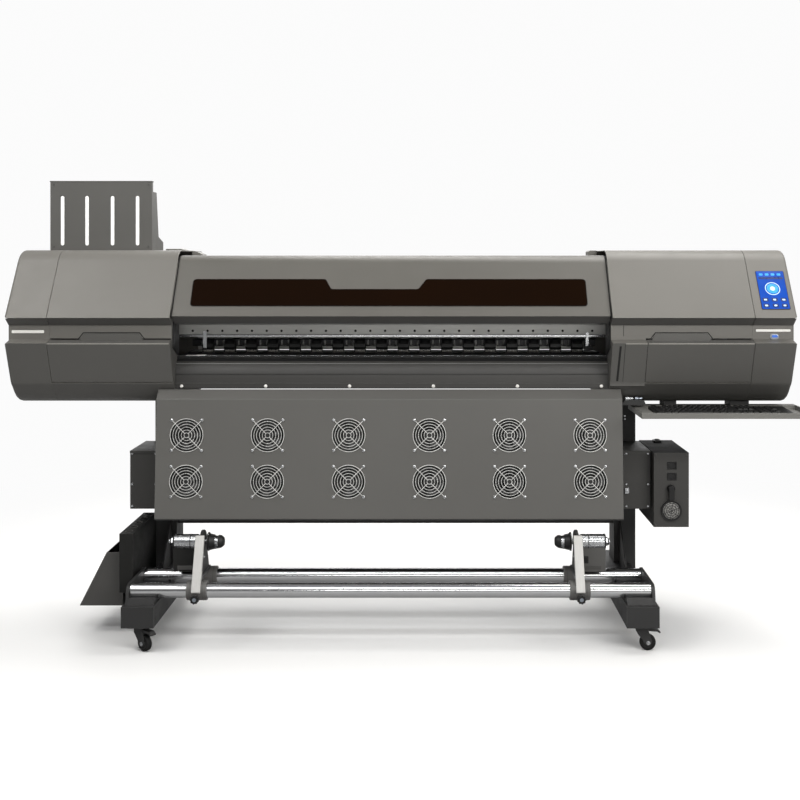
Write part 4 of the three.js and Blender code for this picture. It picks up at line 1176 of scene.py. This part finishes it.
# ------------------------------------------------------------------ take-up arms, boxes and spindles
painted("collar_paint", 0x5a5957, 0.5, seed=16)
for side, s in (("left", -1), ("right", 1)):
    X0 = s * 645
    M = Matrix.Translation((X0, 0, 0)) @ Matrix.Scale(s, 4, (1, 0, 0))
    # M mirrors the left unit: outboard is +x in local terms
    b = Build()
    bar = round_poly([(-140, 194), (-124, 186), (-46, 366), (-60, 368)], [3, 3, 5, 5], 4)
    b.prism(bar, "X", -15, 15, "brushed_bar", 1.6, 3, M)
    b.prism(round_poly([(-112, 222), (92, 222), (40, 334), (28, 362), (-20, 366), (-54, 366)], [3, 3, 10, 12, 10, 4], 4), "X", -3.8, 3.8, "black_steel", 1.0, 2, M)
    b.lathe([(-7.5, 0), (-7.5, 33), (-6, 38), (-3.9, 40), (3.9, 40), (6, 38), (7.5, 33), (7.5, 0)], (0, 0, 334), (1, 0, 0), "black_steel", 56, M)
    b.box(-10, 10, -96, 86, 219, 231.8, "black_steel", 1.2, 2, M)
    for y in (-100, 90):
        b.tube((-34, y, 193), (34, y, 193), 32.8, 25.2, "collar_paint", 2.2, 64, M)
        for x in (-22, 22):
            b.tube((x - 1.2, y, 193), (x + 1.2, y, 193), 33.3, 31, "dark_paint", 0.4, 64, M)
    # clamp knob on the front collar: fluted head on a threaded stem
    b.cyl((0, -131, 176), (0, -147, 176), 6, "steel_bright", 0.8, 24, M)
    flute = [((14.2 + 1.3 * math.cos(9 * t)) * math.cos(t), 176 + (14.2 + 1.3 * math.cos(9 * t)) * math.sin(t)) for t in (2 * math.pi * q / 72 for q in range(72))]
    b.prism(flute, "Y", -159.5, -144, "black_plastic", 1.8, 3, M)
    b.lathe([(-0.5, 0), (-0.5, 6), (0.3, 6.4), (0.3, 0)], (0, -159.6, 176), (0, -1, 0), "button_metal", 24, M)
    for z, y in ((350, -52), (300, -73), (238, -100)):
        b.lathe([(-1, 0), (-1, 4.2), (1.6, 4.2), (2.6, 3.2), (2.6, 2.2), (1.5, 2.0), (1.5, 0)], (15.2, y - 1, z), (1, 0, 0), "steel_bright", 20, M)
        b.lathe([(-1, 0), (-1, 4.2), (1.6, 4.2), (2.6, 3.2), (2.6, 2.2), (1.5, 2.0), (1.5, 0)], (-15.2, y - 1, z), (-1, 0, 0), "steel_bright", 20, M)
    b.make("takeup_%s_arm_detail" % side, "takeup_" + side, "brushed_bar", ["takeup_arm_" + side])

    b = Build()
    b.tube((16.2, 0, 334), (98, 0, 334), 25.2, 22, "steel_bright", 1.5, 56, M)
    b.tube((96, 0, 334), (101.6, 0, 334), 26.4, 11, "black_plastic", 1.5, 56, M)
    b.tube((40, 0, 334), (43, 0, 334), 25.7, 22.4, "black_plastic", 0.6, 56, M)
    for y in (-8, 110):
        for z in (241, 322):
            b.lathe([(-0.6, 0), (-0.6, 3.2), (1.2, 3.2), (2.0, 2.2), (2.0, 1.4), (1.2, 1.2), (1.2, 0)], (101.1, y, z), (1, 0, 0), "steel_bright", 16, M)
    if s > 0:
        b.prism(rrect(24.5, 41.5, 262, 287, 2), "Y", -17.4, -15.9, "black_plastic", 0.5, 2, M)
        b.prism([(27.5, 266), (38.5, 266), (38.5, 283), (27.5, 283)], "Y", -19.4, -17.2, "key_plastic", 0.9, 2, M)
    b.box(30, 86, -16.5, -15.8, 240, 254, "dark_paint", 0.3, 1, M)
    b.make("takeup_%s_box_detail" % side, "takeup_" + side, "dark_paint")

    b = Build()
    b.cyl((-20, 0, 334), (117, 0, 334), 9.9, "steel_bright", 1.6, 36, M)
    b.lathe([(102.2, 0), (102.2, 15), (103.2, 16), (107.5, 16), (108.5, 15), (108.5, 0)], (0, 0, 334), (1, 0, 0), "steel_bright", 6, M)
    b.tube((109, 0, 334), (112.5, 0, 334), 13.2, 9.8, "black_plastic", 0.6, 32, M)
    b.lathe([(-16.6, 0), (-16.6, 30.5), (-17.8, 32), (-20.8, 32), (-22.5, 30.5), (-24, 27.2), (-40, 23.4), (-41.5, 22.2), (-41.5, 0)], (0, 0, 334), (1, 0, 0), "black_plastic", 56, M)
    b.lathe([(-41.0, 0), (-41.0, 18.5), (-42, 19.2), (-51.5, 19.2), (-52.5, 18.6), (-52.5, 0)], (0, 0, 334), (1, 0, 0), "steel_bright", 48, M)
    b.lathe([(-52.3, 0), (-52.3, 20.5), (-53.5, 22), (-62.5, 21.6), (-70, 16.5), (-73.4, 12.5), (-73.4, 8), (-71, 7.2), (-71, 0)], (0, 0, 334), (1, 0, 0), "black_plastic", 48, M)
    for q in range(3):
        R = M @ Matrix.Translation((0, 0, 334)) @ Matrix.Rotation(math.radians(30 + 120 * q), 4, "X") @ Matrix.Translation((0, 0, -334))
        b.prism(round_poly([(-24, 334 + 24), (-24, 334 + 30.5), (-40, 334 + 26.5), (-60, 334 + 23.0), (-66, 334 + 18)], 1.2, 3), "Y", -2.2, 2.2, "key_body", 0.6, 2, R)
        b.lathe([(-1, 0), (-1, 3.0), (0.8, 3.0), (1.6, 2.2), (1.6, 0)], (-19.2, 0, 334 + 31.8), (0, 0, 1), "steel_bright", 16, R)
    b.make("takeup_%s_spindle_detail" % side, "takeup_spindle_" + side, "black_plastic", ["takeup_spindle_" + side])

# ------------------------------------------------------------------ casters
for n, s, y, h in (("front_left", -1, -125, -35), ("front_right", 1, -125, 0), ("rear_left", -1, 570, 20), ("rear_right", 1, 570, -15)):
    M = Matrix.Translation((8 + s * 840, y, 0)) @ Matrix.Rotation(math.radians(h), 4, "Z")
    refine("caster_fork_" + n, "caster_steel" if "caster_steel" in MATS else "black_steel", 0.9)
    b = Build()
    b.lathe([(72.5, 0), (72.5, 19), (73.5, 21.5), (76, 22.4), (78.5, 21.4), (79.5, 19.5), (82, 20.6), (84.2, 20.6), (84.2, 0)], (0, 0, 0), (0, 0, 1), "black_steel", 44, M)
    for yy, d in ((-15.2, -1), (15.2, 1)):
        b.lathe([(0, 0), (0, 5.2), (3.0, 5.2), (3.8, 4.4), (3.8, 0)], (22, yy, 27), (0, d, 0), "steel_bright", 6, M)
        b.lathe([(-0.4, 0), (-0.4, 7.0), (0.6, 7.0), (0.6, 0)], (22, yy, 27), (0, d, 0), "steel_bright", 24, M)
    b.make("caster_%s_hardware" % n, "caster_fork_" + n, "black_steel")
    b = Build()
    tread = [(-9.6, 17.4), (-9.9, 20), (-9.4, 24), (-7.6, 26.2), (-4.5, 26.9), (0, 27.0), (4.5, 26.9), (7.6, 26.2), (9.4, 24), (9.9, 20), (9.6, 17.4)]
    b.lathe(tread, (22, 0, 27), (0, 1, 0), "caster_rubber", 48, M)
    b.lathe([(-8.6, 4.5), (-9.8, 5.0), (-9.8, 8.6), (-7.6, 9.6), (-7.2, 14.6), (-9.0, 16.0), (-9.0, 17.2), (9.0, 17.2), (9.0, 16.0), (7.2, 14.6), (7.6, 9.6), (9.8, 8.6), (9.8, 5.0), (8.6, 4.5)], (22, 0, 27), (0, 1, 0), "key_body", 44, M)
    for d in (-1, 1):
        b.tube((22, d * 9.9, 27), (22, d * 10.9, 27), 9.0, 4.6, "steel_bright", 0.3, 30, M)
    b.make("caster_%s_tyre" % n, "caster_wheel_" + n, "caster_rubber", ["caster_wheel_" + n])


# ------------------------------------------------------------------ ink tower: level windows, cap and the low cover beside it
b = Build()
for x in (-1257, -1164, -1067, -972):
    b.box(x - 7.35, x + 7.35, 400.6, 402.6, 1362.2, 1554.8, "dark_paint", 0)
    # level windows that glow: painted light
    b.prism(rrect(x - 6.6, x + 6.6, 1364.5, 1552.5, 6.6, 8), "Y", 399.2, 401, "level_window_painted_glow", 0.8, 2)
b.prism(rrect(-1306, -915, 1606.2, 1609.9, 1.5), "Y", 398.6, 421, "sheet_paint", 0.6)
for x in (-1290, -931):
    for z in (1360, 1596):
        b.lathe([(-0.5, 0), (-0.5, 3.4), (1.0, 3.4), (1.9, 2.5), (1.9, 1.4), (1.1, 1.2), (1.1, 0)], (x, 400, z), (0, -1, 0), "dark_paint", 18)
b.make("ink_tower_windows", "root", "sheet_paint")

b = Build()
b.prism(round_poly([(-862, 1344.2), (-862, 1351.5), (-806, 1351.5), (-790, 1346.6), (-764, 1344.2)], [0.5, 3, 3, 3, 0.5], 4), "Y", 388, 470, "cover_paint", 1.4, 3)
b.make("left_head_cap_plate", "root", "cover_paint")
b = Build()
b.prism(round_poly([(741, 1325.4), (741, 1341), (747, 1345.4), (771.5, 1345.4), (771.5, 1325.4)], [0.5, 3, 3, 2, 0.5], 4), "Y", 388, 470, "cover_paint", 1.2, 3)
b.prism(round_poly([(-761.5, 1325.4), (-761.5, 1343), (-745, 1341), (-722, 1330), (-722, 1325.4)], [0.5, 3, 5, 3, 0.5], 4), "Y", 388, 470, "cover_paint", 1.2, 3)
b.make("lid_hinge_covers", "root", "cover_paint")
b = Build()
for x in (-560, 5, 570):
    b.cyl((x - 45, 336.5, 1320.2), (x + 45, 336.5, 1320.2), 4.2, "steel_bright", 0.8, 24)
b.make("lid_hinge_pins", "root", "button_metal")

# ------------------------------------------------------------------ power box and cabinet
b = Build()
b.lathe([(0, 0), (0, 29.5), (1.2, 31.2), (2.4, 30.2), (3.6, 24), (4.2, 14), (4.4, 0)], (1002, 126.5, 414), (0, -1, 0), "vent_mesh", 48)
for R in (10, 18, 26):
    b.torus((1002, 122.4 + (0.9 if R > 20 else 0.2), 414), (0, -1, 0), R, 1.1, "black_plastic", 44, 8)
for q in range(3):
    t = math.radians(60 * q + 20)
    b.wire([(1002 - 30 * math.cos(t), 123.6, 414 - 30 * math.sin(t)), (1002, 121.6, 414), (1002 + 30 * math.cos(t), 123.6, 414 + 30 * math.sin(t))], 1.1, "black_plastic", 8)
b.lathe([(0, 0), (0, 13.5), (2, 14.5), (6, 14.5), (8, 12.6), (13, 12.2), (15, 10.5), (15, 0)], (1000, 130.2, 492), (0, -1, 0), "black_plastic", 30)
b.prism(rrect(990, 1010, 451, 503, 8, 8), "Y", 109.6, 118.4, "black_plastic", 2.4, 4)
b.make("power_box_vent_and_entry", "root", "black_plastic")
b = Build()
for z in (573.5, 534.5):
    for x0, x1, z0, z1 in ((986.5, 1021.5, z + 10.7, z + 13.6), (986.5, 1021.5, z - 13.6, z - 10.7), (986.5, 989.3, z - 10.7, z + 10.7), (1018.7, 1021.5, z - 10.7, z + 10.7)):
        b.box(x0, x1, 128.6, 130.0, z0, z1, "black_plastic", 0.45)
b.prism(rrect(984, 1013, 360, 396, 4), "Z", 620.1, 628.5, "black_plastic", 1.6, 3)
b.tube((998, 378, 620), (998, 378, 632), 9, 3.5, "black_plastic", 1.0, 28)
for x in (947, 1058):
    for z in (362, 612):
        b.lathe([(-0.5, 0), (-0.5, 3.6), (1.0, 3.6), (1.9, 2.6), (1.9, 1.4), (1.1, 1.2), (1.1, 0)], (x, 130, z), (0, -1, 0), "dark_paint", 18)
b.make("power_box_details", "root", "black_plastic")
b = Build()
for x in (849, 927, -935, -851):
    for z in (420, 499, 610):
        b.lathe([(-0.5, 0), (-0.5, 4.4), (1.2, 4.6), (2.4, 3.4), (2.4, 2.0), (1.5, 1.8), (1.5, 0)], (x, 175, z), (0, -1, 0), "steel_bright", 20)
b.prism(rrect(843, 858, 466, 486, 3), "Y", 169, 174.9, "steel_bright", 0.9)
b.cyl((850, 171, 476), (850, 162, 476), 4.6, "steel_bright", 0.8, 20)
b.box(-943.3, 936.3, 171.6, 174.9, 612, 620.5, "box_paint", 0.7)
b.make("cabinet_fasteners", "root", "button_metal")

# fittings under the right head: a small bracket with two couplings
b = Build()
b.prism(round_poly([(818, 794), (906, 794), (898, 812), (830, 812)], 3, 3), "Y", 92, 112, "black_steel", 1.2)
for x0, x1, r in ((832, 846, 8.5), (846.5, 860, 6.5), (866, 878, 8.0), (878.5, 892, 5.5)):
    b.cyl((x0, 100, 817), (x1, 100, 817), r, "steel_bright" if x0 < 860 else "button_metal", 1.2, 24)
b.make("head_couplings", "root", "black_steel")

# ------------------------------------------------------------------ keyboard
b = Build()
b.prism(round_poly([(-50, 769.9), (110, 769.9), (112, 771), (112, 787), (108, 788.9), (-47, 780.8), (-50, 778.5)], [1.5, 1, 1, 2, 2, 2, 1.5], 3), "X", 916, 1392, "key_body", 1.6, 3)
ya, za, yb, zb = -46.0, 781.0, 106.0, 788.9
KL = math.hypot(yb - ya, zb - za)
ky, kz = (yb - ya) / KL, (zb - za) / KL
KM = Matrix(((1, 0, 0, 0), (0, ky, -kz, ya), (0, kz, ky, za), (0, 0, 0, 1)))


def key(b, x0, x1, s0, s1, h=4.6):
    i = b.mi("key_plastic")
    lo = [(x0 + 0.7, s0 + 0.7, 0.05), (x1 - 0.7, s0 + 0.7, 0.05), (x1 - 0.7, s1 - 0.7, 0.05), (x0 + 0.7, s1 - 0.7, 0.05)]
    hi = [(x0 + 2.6, s0 + 2.0, h), (x1 - 2.6, s0 + 2.0, h), (x1 - 2.6, s1 - 2.9, h + 0.5), (x0 + 2.6, s1 - 2.9, h + 0.5)]
    vl = [b.bm.verts.new(W(*(KM @ Vector(p)))) for p in lo]
    vh = [b.bm.verts.new(W(*(KM @ Vector(p)))) for p in hi]
    fs = [b.bm.faces.new(vl[::-1]), b.bm.faces.new(vh)]
    for k in range(4):
        fs.append(b.bm.faces.new((vl[k], vl[(k + 1) % 4], vh[(k + 1) % 4], vh[k])))
    bmesh.ops.recalc_face_normals(b.bm, faces=fs)
    edges = set()
    for f in fs:
        f.material_index = i
        f.smooth = True
        if f is not fs[0]:
            for e in f.edges:
                if e.verts[0] in vh or e.verts[1] in vh:
                    edges.add(e)
    bmesh.ops.bevel(b.bm, geom=list(edges), offset=0.9 * MM, offset_type="OFFSET", segments=2, profile=0.5, affect="EDGES", clamp_overlap=True, material=-1)


U, D = 19.0, 22.6
rows = [
    [1, -1, 1, 1, 1, 1, -0.5, 1, 1, 1, 1, -0.5, 1, 1, 1, 1],
    [1] * 13 + [2],
    [1.5] + [1] * 12 + [1.5],
    [1.75] + [1] * 11 + [2.25],
    [2.25] + [1] * 10 + [2.75],
    [1.25, 1.25, 1.25, 6.25, 1.25, 1.25, 1.25, 1.25],
]
nav = [[1, 1, 1], [1, 1, 1], [1, 1, 1], [], [-1, 1], [1, 1, 1]]
pad = [[], [1, 1, 1, 1], [1, 1, 1, 1], [1, 1, 1], [1, 1, 1, 1], [2, 1]]
x_main, x_nav, x_pad = 923.0, 923.0 + 15 * U + 6, 923.0 + 18 * U + 12
for r in range(6):
    s1 = KL - 4 - r * D - (2 if r else 0)
    s0 = s1 - D + 1.2
    for start, row in ((x_main, rows[r]), (x_nav, nav[r]), (x_pad, pad[r])):
        x = start
        for wdt in row:
            if wdt > 0:
                key(b, x, x + wdt * U - 0.6, s0, s1)
            x += abs(wdt) * U
b.make("keyboard_and_keys", "root", "key_plastic", ["keyboard"])

# tray: raised wrist edge, palm plate left of the keyboard, hanger bolts
b = Build()
b.prism(rrect(866, 902, -62, 160, 6), "Z", 785.05, 786.3, "tray_paint", 0.5)
b.box(861.5, 1460.5, -69.6, -64.4, 785.0, 786.8, "tray_paint", 0.7)
for x in (992, 1020, 1235, 1278):
    for y in (160, 235):
        b.lathe([(0, 0), (0, 5.6), (0.4, 6.0), (3.2, 6.0), (4.0, 5.2), (4.0, 0)], (x, y, 766.9), (0, 0, -1), "steel_bright", 6)
b.make("tray_details", "root", "tray_paint")

# ------------------------------------------------------------------ waste rack: rims and screws
b = Build()
for y in (40, 110, 180, 250, 320):
    b.torus((-912, y, 360.2), (0, 0, 1), 12.6, 1.3, "dark_paint", 36, 8)
for z in (190, 330):
    for y in (20, 330):
        b.lathe([(-0.5, 0), (-0.5, 4.0), (1.2, 4.2), (2.4, 3.0), (2.4, 1.8), (1.6, 1.6), (1.6, 0)], (-936, y, z), (-1, 0, 0), "steel_bright", 18)
b.make("waste_rack_rims", "root", "dark_paint")

# ------------------------------------------------------------------ back: vents and fasteners
b = Build()
for x in (-1150, -960, -780, 790, 980, 1235):
    for z in (860, 1290):
        b.lathe([(-0.5, 0), (-0.5, 4.4), (1.2, 4.6), (2.4, 3.4), (2.4, 2.0), (1.5, 1.8), (1.5, 0)], (x, 600, z), (0, 1, 0), "steel_bright", 20)
for x0, x1 in ((-1120, -830), (850, 1190)):
    for k in range(9):
        b.prism(rrect(x0, x1, 930 + 22 * k, 937 + 22 * k, 3.4, 5), "Y", 599.7, 600.4, "seal_dark", 0)
for x in (-740, -250, 250, 750):
    b.lathe([(-0.5, 0), (-0.5, 4.4), (1.2, 4.6), (2.4, 3.4), (2.4, 2.0), (1.5, 1.8), (1.5, 0)], (x, 588, 1100), (0, 1, 0), "steel_bright", 20)
b.make("rear_vents_and_screws", "root", "cover_paint")


# ------------------------------------------------------------------ what is left in CAD form still gets its finish
SKIN = {"chrome_tube": "chrome_tube", "brushed_bar": "brushed_bar", "screen_glass": "screen_glass", "key_plastic": "key_plastic"}
for nd, ob in frame["nodes"].items():
    slot = NODE_SLOT.get(nd)
    mat = MATS.get(SKIN.get(slot, slot)) or MATS["dark_paint"]
    for s in ob.material_slots:
        s.material = mat
